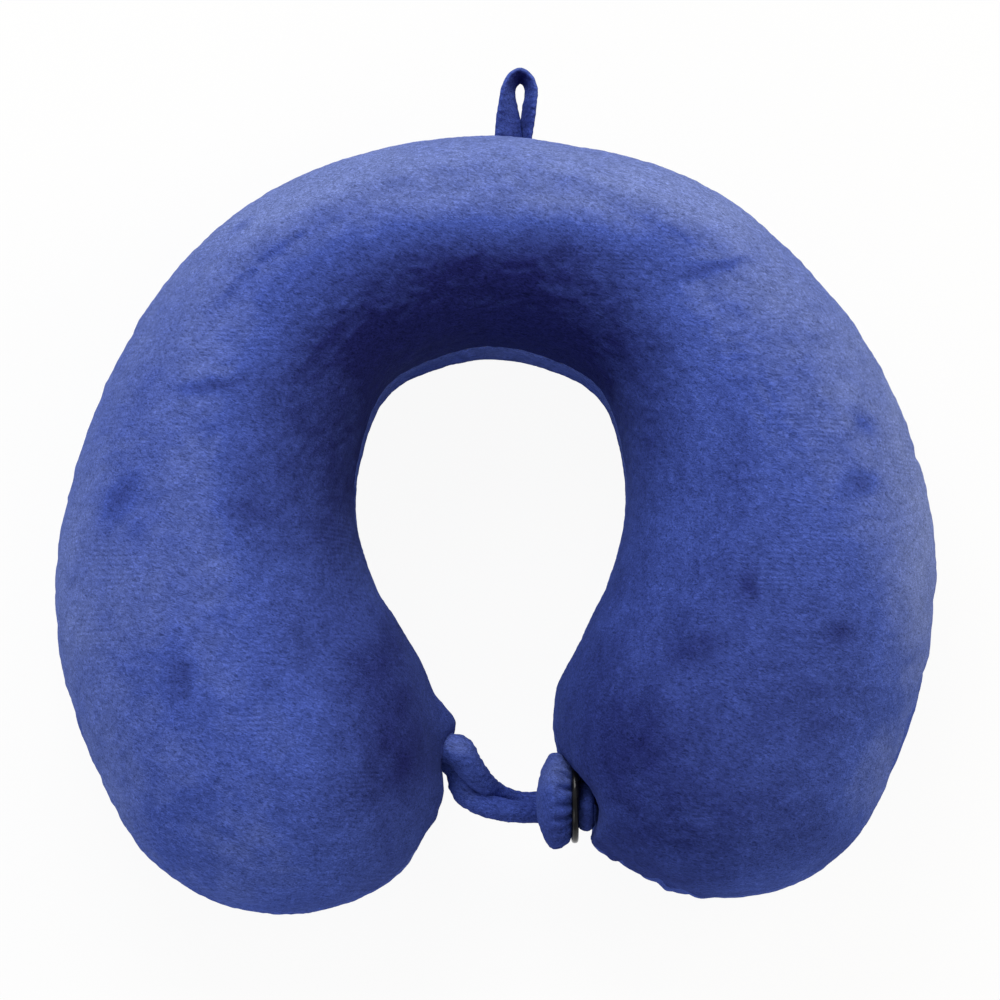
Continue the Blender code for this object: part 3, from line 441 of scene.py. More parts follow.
def inflate(piece):
    """Swell a closed skin by pressure with its seam held.

    Each point's move is split into a part along its normal, which is kept between a sink and a swell, and a
    part along the cloth, which is kept under a drift. On slopes that face the neck both are eased, as cloth
    lies calm on the foam there.
    """
    mesh = piece.data
    start, normals, _, _ = mesh_arrays(mesh)
    held = piece.vertex_groups.new(name="seam")
    held.add(np.nonzero(np.abs(start[:, 2] - SEAM_HEIGHT) < SEAM_HOLD)[0].tolist(), 1.0, "REPLACE")
    cloth = piece.modifiers.new("swell", "CLOTH")
    cloth.settings.quality = 6
    cloth.settings.use_pressure = True
    cloth.settings.uniform_pressure_force = CLOTH_PRESSURE
    cloth.settings.effector_weights.gravity = 0.0
    cloth.settings.vertex_group_mass = held.name
    cloth.settings.shrink_min = -CLOTH_FULLNESS
    cloth.settings.bending_stiffness = 0.3
    cloth.collision_settings.use_collision = False
    cloth.point_cache.frame_start = 1
    cloth.point_cache.frame_end = CLOTH_FRAMES
    for number in range(1, CLOTH_FRAMES + 1):
        bpy.context.scene.frame_set(number)
    graph = bpy.context.evaluated_depsgraph_get()
    swollen, _, _, _ = mesh_arrays(piece.evaluated_get(graph).data)
    move = swollen - start
    out = np.sum(move * normals, axis=1, keepdims=True)
    along = move - out * normals
    length = np.linalg.norm(along, axis=1, keepdims=True)
    along = along * np.minimum(1.0, CLOTH_DRIFT / np.maximum(length, 1e-9))
    piece.modifiers.remove(cloth)
    bpy.context.scene.frame_set(1)
    eased = np.clip(1.0 + np.sum(normals[:, :2] * unit(start[:, :2]), axis=1, keepdims=True), NECK_CALM, 1.0)
    swollen = start + eased * (along + np.clip(out, -CLOTH_SINK, CLOTH_SWELL) * normals)
    mesh.vertices.foreach_set("co", swollen.ravel())
    mesh.update()


def apply_modifiers(piece):
    """Replace a piece's mesh by its evaluated one, with no modifier left."""
    graph = bpy.context.evaluated_depsgraph_get()
    made = bpy.data.meshes.new_from_object(piece.evaluated_get(graph))
    piece.modifiers.clear()
    piece.data = made
    return made


def pile_height(points):
    """Height of the pile from -1 to 1: single tufts, which stand in loose clumps."""
    return 0.65 * lattice_noise(points, PILE_TUFT, 11) + 0.35 * lattice_noise(points, PILE_CLUMP, 12)


def nap_and_shade_of(points, normals, drifts, lie_and_shade):
    """How the pile lies and where light and shade are painted, from -1 for dark to 1 for light.

    It is the sum of painted light and shade by how far the surface faces the back and away from the neck,
    times a share, broad drifts of the pile and of painted light and shade, which are bells over ellipses,
    smaller random drifts, and hand marks, which are bells over ellipses turned along their strokes, with
    uneven edges.
    """
    facing = np.sum(normals[:, :2] * unit(points[:, :2]), axis=1)
    # Painted light and shade by which way the surface faces
    nap_and_shade = lie_and_shade * (PAINTED_SHADE_FORWARD * normals[:, 1] + np.where(facing < 0.0, PAINTED_SHADE_INWARD, PAINTED_LIGHT_OUTWARD) * facing)
    for x, y, half_x, half_y, strength in drifts:
        away = ((points[:, 0] - x) / half_x) ** 2 + ((points[:, 1] - y) / half_y) ** 2
        nap_and_shade += strength * np.exp(-away)
    for strength, scale, size, seed in NAP_WANDERS:
        nap_and_shade += strength * lattice_noise(points * np.array(scale), size, seed)
    uneven = MARK_UNEVENNESS * lattice_noise(points, MARK_UNEVEN_SIZE, 24)[:, None]
    for x, y, half_length, half_width, direction, strength in NAP_MARKS:
        aside = points[:, :2] - np.array((x, y)) + uneven
        cosine, sine = math.cos(math.radians(direction)), math.sin(math.radians(direction))
        along = (aside[:, 0] * cosine + aside[:, 1] * sine) / half_length
        across = (aside[:, 1] * cosine - aside[:, 0] * sine) / half_width
        nap_and_shade -= strength * np.exp(-(along ** 2 + across ** 2)) * (points[:, 2] > SEAM_HEIGHT)
    return np.clip(nap_and_shade, -1.0, 1.0)


def set_velour_marks(mesh, drifts, lie_and_shade):
    """Store how the pile lies, with painted light and shade, by a piece's own drifts and share of facing
    shade, and the pile's height on a velour mesh.
    """
    points, normals, _, _ = mesh_arrays(mesh)
    for name, values in (("nap_and_shade", nap_and_shade_of(points, normals, drifts, lie_and_shade)), ("pile", pile_height(points))):
        layer = mesh.attributes.new(name, "FLOAT", "POINT")
        layer.data.foreach_set("value", values.astype(np.float32))


def spread_value(make, link, source, low, high, to_low, to_high):
    """A source value carried from one span to another; returns the new value."""
    spread = make("ShaderNodeMapRange")
    for name, value in (("From Min", low), ("From Max", high), ("To Min", to_low), ("To Max", to_high)):
        spread.inputs[name].default_value = value
    link(source, spread.inputs["Value"])
    return spread.outputs["Result"]


def combined(make, link, operation, first, second):
    """Two values put together by a named operation; returns the result."""
    node = make("ShaderNodeMath")
    node.operation = operation
    link(first, node.inputs[0])
    link(second, node.inputs[1])
    return node.outputs["Value"]


def velour_material():
    """Royal blue velour, whose colour follows how the pile lies, with painted light and shade, painted shade
    in the pile's hollows, its fibres and its rows.

    Fibres are a stretched noise. Rows are curved bands, a pile's row apart, that show in patches. Sheen is
    at grazing angles.
    """
    material, make, link, shader = new_material("blue_velour")
    nap_and_shade = make("ShaderNodeAttribute")
    nap_and_shade.attribute_name = "nap_and_shade"
    lie_and_shade = spread_value(make, link, nap_and_shade.outputs["Fac"], -1.0, 1.0, 0.0, 1.0)
    # Navy is where shade is painted, and the pale blue is where brushed pile and painted sheen are
    hue = colour_ramp(make, link, lie_and_shade, (0.05, NAVY), (0.5, ROYAL), (0.95, BRUSHED_AND_SHEEN))
    pile = make("ShaderNodeAttribute")
    pile.attribute_name = "pile"
    # Painted shade: the colour darkens in the hollows between the pile's tufts
    depth = spread_value(make, link, pile.outputs["Fac"], -0.7, 0.7, 0.86, 1.10)

    place = make("ShaderNodeTexCoord")
    comb = make("ShaderNodeMapping")
    comb.vector_type = "TEXTURE"
    comb.inputs["Rotation"].default_value = (0.0, 0.0, math.radians(-20))
    comb.inputs["Scale"].default_value = (2.2, 1.0, 1.0)
    link(place.outputs["Object"], comb.inputs["Vector"])
    fibre = make("ShaderNodeTexNoise")
    fibre.inputs["Scale"].default_value = 1500.0
    fibre.inputs["Detail"].default_value = 2.0
    fibre.inputs["Roughness"].default_value = 0.65
    fibre.inputs["Distortion"].default_value = 1.2
    link(comb.outputs["Vector"], fibre.inputs["Vector"])
    grain = spread_value(make, link, fibre.outputs["Fac"], 0.30, 0.70, 0.50, 1.50)

    rows = make("ShaderNodeTexWave")
    rows.bands_direction = "Y"
    rows.inputs["Scale"].default_value = 190.0
    rows.inputs["Distortion"].default_value = 9.0
    rows.inputs["Detail"].default_value = 2.0
    rows.inputs["Detail Scale"].default_value = 0.25
    link(place.outputs["Object"], rows.inputs["Vector"])
    patches = make("ShaderNodeTexNoise")
    patches.inputs["Scale"].default_value = 34.0
    patches.inputs["Detail"].default_value = 1.0
    link(place.outputs["Object"], patches.inputs["Vector"])
    shown = spread_value(make, link, patches.outputs["Fac"], 0.50, 0.75, 0.0, 0.12)
    centred = spread_value(make, link, rows.outputs["Fac"], 0.0, 1.0, -1.0, 1.0)
    ribbed = spread_value(make, link, combined(make, link, "MULTIPLY", shown, centred), -1.0, 1.0, 0.0, 2.0)

    shade = combined(make, link, "MULTIPLY", combined(make, link, "MULTIPLY", depth, grain), ribbed)
    colour = make("ShaderNodeVectorMath")
    colour.operation = "SCALE"
    link(hue, colour.inputs[0])
    link(shade, colour.inputs["Scale"])
    link(colour.outputs["Vector"], shader.inputs["Base Color"])
    set_bump(make, link, shader, shade, 0.35, 0.0004)
    shader.inputs["Roughness"].default_value = 0.85
    shader.inputs["Specular IOR Level"].default_value = 0.0
    shader.inputs["Sheen Weight"].default_value = 0.12
    shader.inputs["Sheen Roughness"].default_value = 0.40
    shader.inputs["Sheen Tint"].default_value = SHEEN_TINT
    return material


def cut_cover(cover, planes):
    """The cover's faces cut along planes, each a point, a direction and the side to clear, as a new mesh."""
    shape = bmesh.new()
    shape.from_mesh(cover)
    for place, direction, clear in planes:
        bmesh.ops.bisect_plane(shape, geom=shape.verts[:] + shape.edges[:] + shape.faces[:], plane_co=place,
                               plane_no=direction, clear_inner=clear == "inner",
                               clear_outer=clear == "outer")
    made = bpy.data.meshes.new("panel")
    shape.to_mesh(made)
    shape.free()
    return made


def without_slot(points, normals, corners, starts):
    """The faces that are left when those over the zip's slot go, with the points that they use."""
    sizes = np.diff(np.append(starts, len(corners)))
    middles = np.add.reduceat(points[corners], starts, axis=0) / sizes[:, None]
    inside = np.all(np.abs(middles[:, :2] - np.array((0.0, zip_line))) < ZIP_SLOT_HALF, axis=1)
    kept = ~(inside & (middles[:, 2] < ZIP_SLOT_RISE))
    used, corners = np.unique(corners[np.repeat(kept, sizes)], return_inverse=True)
    return points[used], normals[used], corners, np.concatenate([[0], np.cumsum(sizes[kept])[:-1]])


def with_hem(points, corners, starts, hem_points):
    """Carry each open edge on to a hem, whose points are given for every point, by a strip of faces.

    An edge is open where only one face runs along it.
    """
    sizes = np.diff(np.append(starts, len(corners)))
    following = np.arange(1, len(corners) + 1)
    following[starts + sizes - 1] = starts
    ahead = corners[following]
    key = np.minimum(corners, ahead).astype(np.int64) * len(points) + np.maximum(corners, ahead)
    _, edge, count = np.unique(key, return_inverse=True, return_counts=True)
    is_open = count[edge] == 1
    rim, place = np.unique(np.concatenate([corners[is_open], ahead[is_open]]), return_inverse=True)
    hem_start, hem_end = np.split(place + len(points), 2)
    strip = np.stack([ahead[is_open], corners[is_open], hem_start, hem_end], axis=1)
    strip_starts = len(corners) + 4 * np.arange(len(strip))
    return (np.concatenate([points, hem_points[rim]]), np.concatenate([corners, strip.ravel()]),
            np.concatenate([starts, strip_starts]))


def cover_depth(angle, turn):
    """How far the cover's skin starts below the pillow's outside: less on the neck's side."""
    share = np.abs(angle) / np.where(angle > 0.0, RIGHT_TIP_ANGLE, LEFT_TIP_ANGLE)
    return CLOTH_SLACK * (1.0 - NECK_SNUG * np.maximum(0.0, -np.cos(turn)) ** 2 * (1.0 - share ** 12))


def seam_waver(points):
    """How far the seam wanders up or down at each point: a smooth random field over the plan."""
    return SEAM_WAVER * lattice_noise(points * np.array((1.0, 1.0, 0.0)), SEAM_WAVER_LENGTH, 32)


# The skin that is swollen into the cover: the pillow's surface, a little small, remeshed evenly
skin_turns = grid_turns(COVER_RINGS, COVER_POINTS)
skin_points = inset(pillow_surface(*skin_turns), cover_depth(*skin_turns)[..., None]) + frame_shift
skin = grid_object("cover_skin", skin_points)
remesh = skin.modifiers.new("even", "REMESH")
remesh.mode = "VOXEL"
remesh.voxel_size = CLOTH_VOXEL
apply_modifiers(skin)
inflate(skin)
smooth = skin.modifiers.new("smooth", "SUBSURF")
smooth.levels = 2
smooth.render_levels = 2
cover = apply_modifiers(skin)

# The bulges push the skin out. Dents, puckers, the seam's groove and the pile then move it along its
# normals, and puckers are puffs between sharp creases, tightest on the right lobe's front. Last, the skin
# is kept above the table and its seam is levelled, so that a plane can cut it
points, _, _, _ = mesh_arrays(cover)
cover.vertices.foreach_set("co", bulged(points).ravel())
cover.update()
points, normals, _, _ = mesh_arrays(cover)
dents = BODY_DENTS * lattice_noise(points, BODY_DENT_SIZE, 31)
dents = dents * np.clip(points[:, 2] / DENT_FADE_HEIGHT, 0.0, 1.0)
seam_line = SEAM_HEIGHT + seam_waver(points)
off_seam = points[:, 2] - seam_line
draw = 2.0 * np.abs(lattice_noise(points * np.array((1.0, 1.0, 0.25)), PUCKER_PITCH, 33)) - 0.7
tight = np.exp(-np.sum((points[:, :2] - TIGHT_SEAM_PLACE) ** 2, axis=1) / TIGHT_SEAM_SIZE ** 2)
puckers = PUCKER_HEIGHT * (PUCKER_LEAST + tight) * draw * np.exp(-(off_seam / PUCKER_REACH) ** 2)
groove = -SEAM_DEPTH * np.exp(-(off_seam / SEAM_WIDTH) ** 2)
pile = PILE_LENGTH * pile_height(points)
pile = pile * np.clip(points[:, 2] / PILE_PRESSED_HEIGHT, PILE_PRESSED_SHARE, 1.0)
points = points + normals * (dents + puckers + groove + pile)[:, None]
points[:, 2] = np.maximum(points[:, 2], REST_HEIGHT + PILE_LENGTH * pile_height(points))
points[:, 2] -= seam_line - SEAM_HEIGHT
cover.vertices.foreach_set("co", points.ravel())
cover.update()

velour = velour_material()
at_seam = (0.0, 0.0, SEAM_HEIGHT)
slot_planes = [((0.0, zip_line + side * ZIP_SLOT_HALF[1], 0.0), (0.0, 1.0, 0.0), "none") for side in (-1, 1)]
slot_planes += [((side * ZIP_SLOT_HALF[0], 0.0, 0.0), (1.0, 0.0, 0.0), "none") for side in (-1, 1)]
for name, node, drifts, lie_and_shade, planes in (
        ("top_cover", "top_panel", NAP_AND_SHADE_DRIFTS, TOP_FACING_SHADE, [(at_seam, (0.0, 0.0, 1.0), "inner")]),
        ("bottom_cover", "bottom_panel", LOWER_DRIFTS, LOWER_FACING_SHADE,
         [(at_seam, (0.0, 0.0, 1.0), "outer"), *slot_planes])):
    points, normals, corners, starts = without_slot(*mesh_arrays(cut_cover(cover, planes)))
    points[:, 2] += seam_waver(points)
    hem = points - normals * SEAM_ALLOWANCE
    at_slot = points[:, 2] < SEAM_HEIGHT / 2
    hem[at_slot] = points[at_slot]
    hem[at_slot, 2] = ZIP_SLOT_RISE
    panel_mesh = mesh_from(name, *with_hem(points, corners, starts, hem))
    set_velour_marks(panel_mesh, drifts, lie_and_shade)
    panel_mesh.materials.append(velour)
    panel = add_object(name, panel_mesh)
    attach(panel, "pillow")
    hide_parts(node)
bpy.data.objects.remove(skin, do_unlink=True)


# Seam: the polyester thread that joins the two panels round the whole edge. It lies at the bottom of the
# groove that it draws, and dips into the cloth at each stitch.
THREAD_RADIUS = 0.00042
THREAD_BELOW_COVER = 0.0010
THREAD_BELOW_TIPS = 0.0022
THREAD_DIP = 0.00040
STITCH_LENGTH = 0.0030
THREAD_RINGS = 2400
THREAD_SIDES = 6
EDGE_STEPS = 1500
THREAD_COLOUR = (0.030, 0.042, 0.200, 1.0)
# Painted shade between the thread's plies
THREAD_PLY_SHADE = (0.012, 0.016, 0.090, 1.0)


def even_steps(path, count):
    """A path read again at even steps of its length; columns past the third are read along with it."""
    steps = np.linalg.norm(np.diff(path[:, :3], axis=0), axis=1)
    travelled = np.concatenate([[0.0], np.cumsum(steps)])
    even = np.linspace(0.0, travelled[-1], count)
    return np.stack([np.interp(even, travelled, column) for column in path.T], axis=-1), even


def sweep(path, half_across, half_up, up, sides, power=2.0):
    """A tube along a path, with both ends drawn to a point.

    Each ring is a superellipse of two half sizes, square to the path, the second of them along `up`.
    """
    ahead = unit(np.gradient(path, axis=0))
    across = unit(np.cross(ahead, up))
    up = np.cross(across, ahead)
    turn = np.linspace(0.0, 2 * math.pi, sides, endpoint=False)
    side = np.sign(np.cos(turn)) * np.abs(np.cos(turn)) ** (2 / power)
    rise = np.sign(np.sin(turn)) * np.abs(np.sin(turn)) ** (2 / power)
    rings = (path[:, None, :] + across[:, None, :] * np.multiply.outer(half_across, side)[..., None]
             + up[:, None, :] * np.multiply.outer(half_up, rise)[..., None])
    first, last = (np.broadcast_to(path[end], (1, sides, 3)) for end in (0, -1))
    return np.concatenate([first, rings, last])


def thread_material():
    """Navy twisted thread: fine slanting plies, with painted shade between them, and a slight gloss."""
    material, make, link, shader = new_material("navy_thread")
    place = make("ShaderNodeTexCoord")
    plies = make("ShaderNodeTexWave")
    plies.bands_direction = "DIAGONAL"
    plies.inputs["Scale"].default_value = 700.0
    plies.inputs["Distortion"].default_value = 1.0
    link(place.outputs["Object"], plies.inputs["Vector"])
    link(colour_ramp(make, link, plies.outputs["Fac"], (0.1, THREAD_PLY_SHADE), (0.8, THREAD_COLOUR)),
         shader.inputs["Base Color"])
    set_bump(make, link, shader, plies.outputs["Fac"], 0.5, 0.0001)
    shader.inputs["Roughness"].default_value = 0.55
    return material


edge_angle = np.concatenate([np.linspace(-LEFT_TIP_ANGLE, RIGHT_TIP_ANGLE, EDGE_STEPS),
                             np.linspace(RIGHT_TIP_ANGLE, -LEFT_TIP_ANGLE, EDGE_STEPS)])
edge_turn = np.repeat((0.0, math.pi), EDGE_STEPS)
edge_share = np.abs(edge_angle) / np.where(edge_angle > 0.0, RIGHT_TIP_ANGLE, LEFT_TIP_ANGLE)
edge_depth = cover_depth(edge_angle, edge_turn) + THREAD_BELOW_COVER + THREAD_BELOW_TIPS * edge_share ** 8
edge_places = bulged(pillow_surface(edge_angle, edge_turn) + frame_shift)
edge_path, travelled = even_steps(np.concatenate([edge_places, edge_depth[:, None]], axis=1), THREAD_RINGS)
edge_path, edge_depth = edge_path[:, :3], edge_path[:, 3]
edge_out = unit(np.cross(np.gradient(edge_path, axis=0), np.array((0.0, 0.0, -1.0))))
stitch = np.cos(2 * math.pi * travelled / STITCH_LENGTH)
edge_path = edge_path - edge_out * (edge_depth - THREAD_DIP * stitch)[:, None]
edge_path[:, 2] += seam_waver(edge_path)
thread_half = np.full(THREAD_RINGS, THREAD_RADIUS)
thread_grid = sweep(edge_path, thread_half, thread_half, (0.0, 0.0, 1.0), THREAD_SIDES)
seam_stitches = grid_object("seam_stitches", thread_grid)
seam_stitches.data.materials.append(thread_material())
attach(seam_stitches, "pillow")
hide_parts("seam_thread")


# Hang loop: a strip of the same velour, sewn into a narrow band, folded and caught in the seam at the
# middle of the back. The band's upper edge leans out all round, so its inner face shows, and its left leg is
# twisted flat where it enters the seam.
HANG_RINGS = 200
HANG_SIDES = 44
HANG_CORNER_POWER = 3.2
HANG_HALF_THICKNESS = 0.0011
SMALL_PILE = 0.00040
HANG_PILE = 0.00024
SMALL_TUFT = 0.0013

# The band's middle line from the left leg's root to the right one's: place, half of its width, and how far
# its upper edge leans out in degrees
HANG_LINE = ((0.0052, 0.1165, 0.0455, 0.0050, 72), (0.0052, 0.1235, 0.0460, 0.0050, 72),
             (0.0052, 0.1305, 0.0461, 0.0046, 62), (0.0050, 0.1375, 0.0460, 0.0040, 40),
             (0.0054, 0.1410, 0.0460, 0.0040, 30), (0.0069, 0.1439, 0.0460, 0.0040, 28),
             (0.0093, 0.1453, 0.0460, 0.0040, 28), (0.0117, 0.1439, 0.0460, 0.0040, 26),
             (0.0130, 0.1410, 0.0460, 0.0040, 26), (0.0131, 0.1375, 0.0460, 0.0040, 28),
             (0.0125, 0.1340, 0.0459, 0.0042, 30), (0.0119, 0.1288, 0.0455, 0.0042, 29),
             (0.0117, 0.1230, 0.0452, 0.0038, 18), (0.0116, 0.1165, 0.0450, 0.0036, 14))

# The band's inner face is darkened by painted shade
HANG_DRIFTS = ((0.0092, 0.1330, 0.0046, 0.0140, -0.38),)


def smooth_path(points, count):
    """A smooth curve through points, a Catmull-Rom cubic from each to the next, read at even steps.

    Columns past the third are sizes, which change as smoothly as the place.
    """
    points = np.asarray(points, float)
    around = np.concatenate([2 * points[:1] - points[1:2], points, 2 * points[-1:] - points[-2:-1]])
    share = np.linspace(0.0, 1.0, 30, endpoint=False)[None, :, None]
    before, start, end, after = (around[first:len(around) - 3 + first, None, :] for first in range(4))
    curve = 0.5 * (2 * start + (end - before) * share
                   + (2 * before - 5 * start + 4 * end - after) * share ** 2
                   + (3 * start - before - 3 * end + after) * share ** 3)
    return even_steps(np.concatenate([curve.reshape(-1, points.shape[1]), points[-1:]]), count)[0]


def velour_piece(name, grid, drifts, pile):
    """A small velour piece: a closed grid whose points stand out or in by its pile, with how its pile lies
    and its painted light and shade marked.
    """
    tufts = pile_height(grid * PILE_TUFT / SMALL_TUFT)
    standing = grid + grid_normals(grid) * (pile * tufts)[..., None]
    piece = grid_object(name, standing)
    set_velour_marks(piece.data, drifts, TOP_FACING_SHADE)
    piece.data.materials.append(velour)
    return piece


hang_line = smooth_path(HANG_LINE, HANG_RINGS)
hang_ahead = unit(np.gradient(hang_line[:, :3], axis=0))
hang_out = unit(np.cross(np.array((0.0, 0.0, 1.0)), hang_ahead))
lean = np.radians(hang_line[:, 4:])
hang_up = hang_out * np.sin(lean) + np.array((0.0, 0.0, 1.0)) * np.cos(lean)
hang_grid = sweep(hang_line[:, :3], np.full(HANG_RINGS, HANG_HALF_THICKNESS), hang_line[:, 3], hang_up,
                  HANG_SIDES, power=HANG_CORNER_POWER)
hang_strip = velour_piece("hanging_strip", hang_grid, HANG_DRIFTS, HANG_PILE)
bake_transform(hang_strip)
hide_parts("hang_loop")


# Closure loop: a tube of velour with a woven elastic cord inside, doubled. Its two ends are sewn into the
# left lobe's seam, and the bend passes under the button's head and round the thread behind it.
LOOP_RINGS = 420
LOOP_SIDES = 44
LOOP_BIGHT_RADIUS = 0.0027
LOOP_BIGHT_FORWARD = 0.0015
LOOP_BIGHT_RISE = 0.0025
SHANK_RADIUS = 0.0012
ELASTIC_RADIUS = 0.0008
ELASTIC_RIB = 0.0009
ELASTIC_RIB_DEPTH = 0.10
ELASTIC_SIDES = 10
ELASTIC_COLOUR = (0.78, 0.78, 0.76, 1.0)
# Painted shade in the gaps between the elastic's yarns
ELASTIC_GAP_SHADE = (0.52, 0.52, 0.50, 1.0)

# Each strand from inside the left lobe to the button: place from the hinge at its root, and radius
BACK_STRAND = ((-0.0069, 0.0013, 0.0040, 0.0038), (-0.0009, 0.0005, 0.0050, 0.0050),
               (0.0037, -0.0010, 0.0055, 0.0056), (0.0073, -0.0058, 0.0030, 0.0048),
               (0.0121, -0.0112, -0.0035, 0.0041), (0.0171, -0.0150, -0.0110, 0.0038),
               (0.0233, -0.0172, -0.0155, 0.0037), (0.0300, -0.0176, -0.0174, 0.0037))
FRONT_STRAND = ((-0.0064, -0.0022, -0.0040, 0.0036), (-0.0009, -0.0030, -0.0045, 0.0042),
                (0.0030, -0.0067, -0.0050, 0.0042), (0.0044, -0.0125, -0.0055, 0.0041),
                (0.0077, -0.0166, -0.0055, 0.0040), (0.0134, -0.0192, -0.0050, 0.0040),
                (0.0202, -0.0207, -0.0053, 0.0040), (0.0253, -0.0211, -0.0072, 0.0040),
                (0.0302, -0.0211, -0.0100, 0.0039))

# Each strand under the button's head and up behind its plate: place from the button's hub, and radius
BACK_UNDER = ((-0.0067, 0.0018, -0.0252, 0.0034), (0.0, 0.0033, -0.0200, 0.0028),
              (0.0027, 0.0053, -0.0108, LOOP_BIGHT_RADIUS), (0.0027, 0.0054, 0.0, LOOP_BIGHT_RADIUS))
FRONT_UNDER = ((-0.0067, -0.0037, -0.0213, 0.0036), (0.0, -0.0052, -0.0195, 0.0028),
               (0.0027, -0.0070, -0.0108, LOOP_BIGHT_RADIUS), (0.0027, -0.0072, 0.0, LOOP_BIGHT_RADIUS))

# The strands are lighter at their roots and darker towards the button
LOOP_DRIFTS = ((-0.0120, -0.0890, 0.0070, 0.0050, 0.30), (-0.0090, -0.1030, 0.0060, 0.0060, 0.15),
               (0.0060, -0.1080, 0.0140, 0.0090, -0.15))


def placed(points, start):
    """A strand's points, with their radii, from the place that they are measured from."""
    points = np.array(points)
    points[:, :3] += start
    return points


def elastic_material():
    """Pale woven elastic: slanting yarns with painted shade in the gaps between them."""
    material, make, link, shader = new_material("pale_elastic")
    place = make("ShaderNodeTexCoord")
    yarns = make("ShaderNodeTexWave")
    yarns.bands_direction = "DIAGONAL"
    yarns.inputs["Scale"].default_value = 420.0
    yarns.inputs["Distortion"].default_value = 0.8
    link(place.outputs["Object"], yarns.inputs["Vector"])
    link(colour_ramp(make, link, yarns.outputs["Fac"], (0.1, ELASTIC_GAP_SHADE), (0.7, ELASTIC_COLOUR)),
         shader.inputs["Base Color"])
    set_bump(make, link, shader, yarns.outputs["Fac"], 0.5, 0.0002)
    shader.inputs["Roughness"].default_value = 0.75
    return material


loop_anchor = joint_places["closure_loop_swing"]
button_hub = joint_places["button_swivel"]
over_shank = button_hub + np.array((LOOP_BIGHT_RADIUS, -LOOP_BIGHT_FORWARD,
                                    SHANK_RADIUS + LOOP_BIGHT_RADIUS + LOOP_BIGHT_RISE))
loop_line = smooth_path(np.concatenate([
    placed(BACK_STRAND, loop_anchor), placed(BACK_UNDER, button_hub), [[*over_shank, LOOP_BIGHT_RADIUS]],
    placed(FRONT_UNDER, button_hub)[::-1], placed(FRONT_STRAND, loop_anchor)[::-1]]), LOOP_RINGS)
loop_half = loop_line[:, 3]
loop_line = loop_line[:, :3]
# The rings' upward side turns from straight up on the strands to the left behind the plate
behind = np.clip((loop_line[:, 0] - button_hub[0]) / LOOP_BIGHT_RADIUS, -2.0, 1.0) / 3.0 + 2.0 / 3.0
loop_up = np.stack([-behind, np.zeros(LOOP_RINGS), 1.0 - behind], axis=-1)
sleeve_grid = sweep(loop_line, loop_half, loop_half, loop_up, LOOP_SIDES)
sleeve = velour_piece("loop_sleeve", sleeve_grid, LOOP_DRIFTS, SMALL_PILE)
_, loop_travelled = even_steps(loop_line, LOOP_RINGS)
elastic_wave = np.cos(2 * math.pi * loop_travelled / ELASTIC_RIB)
elastic_half = ELASTIC_RADIUS * (1.0 + ELASTIC_RIB_DEPTH * elastic_wave)
elastic_grid = sweep(loop_line, elastic_half, elastic_half, loop_up, ELASTIC_SIDES)
elastic = grid_object("elastic_cord", elastic_grid)
elastic.data.materials.append(elastic_material())
for piece, node in ((sleeve, "closure_loop_sleeve"), (elastic, "closure_loop_elastic")):
    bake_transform(piece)
    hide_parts(node)


# Button: a moulded dome wrapped in gathered velour, clipped to a glossy black back plate. The plate's boss
# is tied to the right lobe by a wound thread, which lets the button turn.
BUTTON_RADIUS = 0.0163
BUTTON_WIDEST = 0.0085
BUTTON_CROWN = 0.0060
BUTTON_BACK_ROLL = 0.0062
BUTTON_BACK_FALL = 0.0050
BUTTON_CROWN_POWER = 1.75
BUTTON_BACK_POWER = 1.5
BUTTON_STEPS = 160
GATHERS = 19
GATHER_DEPTH = 0.10
GATHER_REACH = 0.0050
PLATE_RADIUS = 0.0145
PLATE_THICKNESS = 0.0024
PLATE_EDGE = 0.0010
PLATE_BOSS_RADIUS = 0.0026
PLATE_BOSS_LENGTH = 0.0008
PLATE_BOSS_CHAMFER = 0.0002
PLATE_BOSS_FLARE = 0.0006
PLATE_SPIGOT_RADIUS = 0.0050
PLATE_SPIGOT_LENGTH = 0.0045
PLATE_SPIGOT_CHAMFER = 0.0004
PLATE_RECESS = 0.0003
PLATE_RECESS_SHARE = 0.8
PLATE_STEPS = 96
SHANK_LENGTH = 0.0062
SHANK_SUNK = 0.0045
SHANK_IN_PLATE = 0.0010
SHANK_CLEARANCE = 0.0003
SHANK_RINGS = 160
SHANK_SIDES = 20
SHANK_TURN = 0.00075
PLATE_COLOUR = (0.004, 0.004, 0.005, 1.0)
PLATE_SCUFF = (0.012, 0.012, 0.014, 1.0)
DOME_COLOUR = (0.30, 0.30, 0.31, 1.0)
DOME_SPECK = (0.22, 0.22, 0.23, 1.0)

# Painted light makes the button lighter towards its back, and painted shade darker towards its front
BUTTON_DRIFTS = ((0.0210, -0.0970, 0.0200, 0.0080, 0.45), (0.0210, -0.1180, 0.0200, 0.0090, -0.15))


def turned(profile, hub, steps, gathered=None):
    """A profile of radius and distance in front of the plate's back face, turned round the button's axis.

    Where a share of gathering is given for each point of the profile, the radius swells and shrinks by it
    along a wave that wanders round the edge.
    """
    radius, front = np.asarray(profile).T
    turn = np.linspace(0.0, 2 * math.pi, steps, endpoint=False)
    ring = np.ones((len(radius), steps))
    if gathered is not None:
        wander = 0.8 * np.sin(2 * turn + 0.6) + 0.5 * np.sin(5 * turn + 2.0)
        wave = np.abs(np.sin((GATHERS * turn + wander) / 2)) * 2.0 - 1.2
        ring = 1.0 + GATHER_DEPTH * np.multiply.outer(gathered, wave)
    reach = radius[:, None] * ring
    return np.stack([hub[0] - front[:, None] + 0.0 * reach, hub[1] + reach * np.cos(turn),
                     hub[2] + reach * np.sin(turn)], axis=-1)


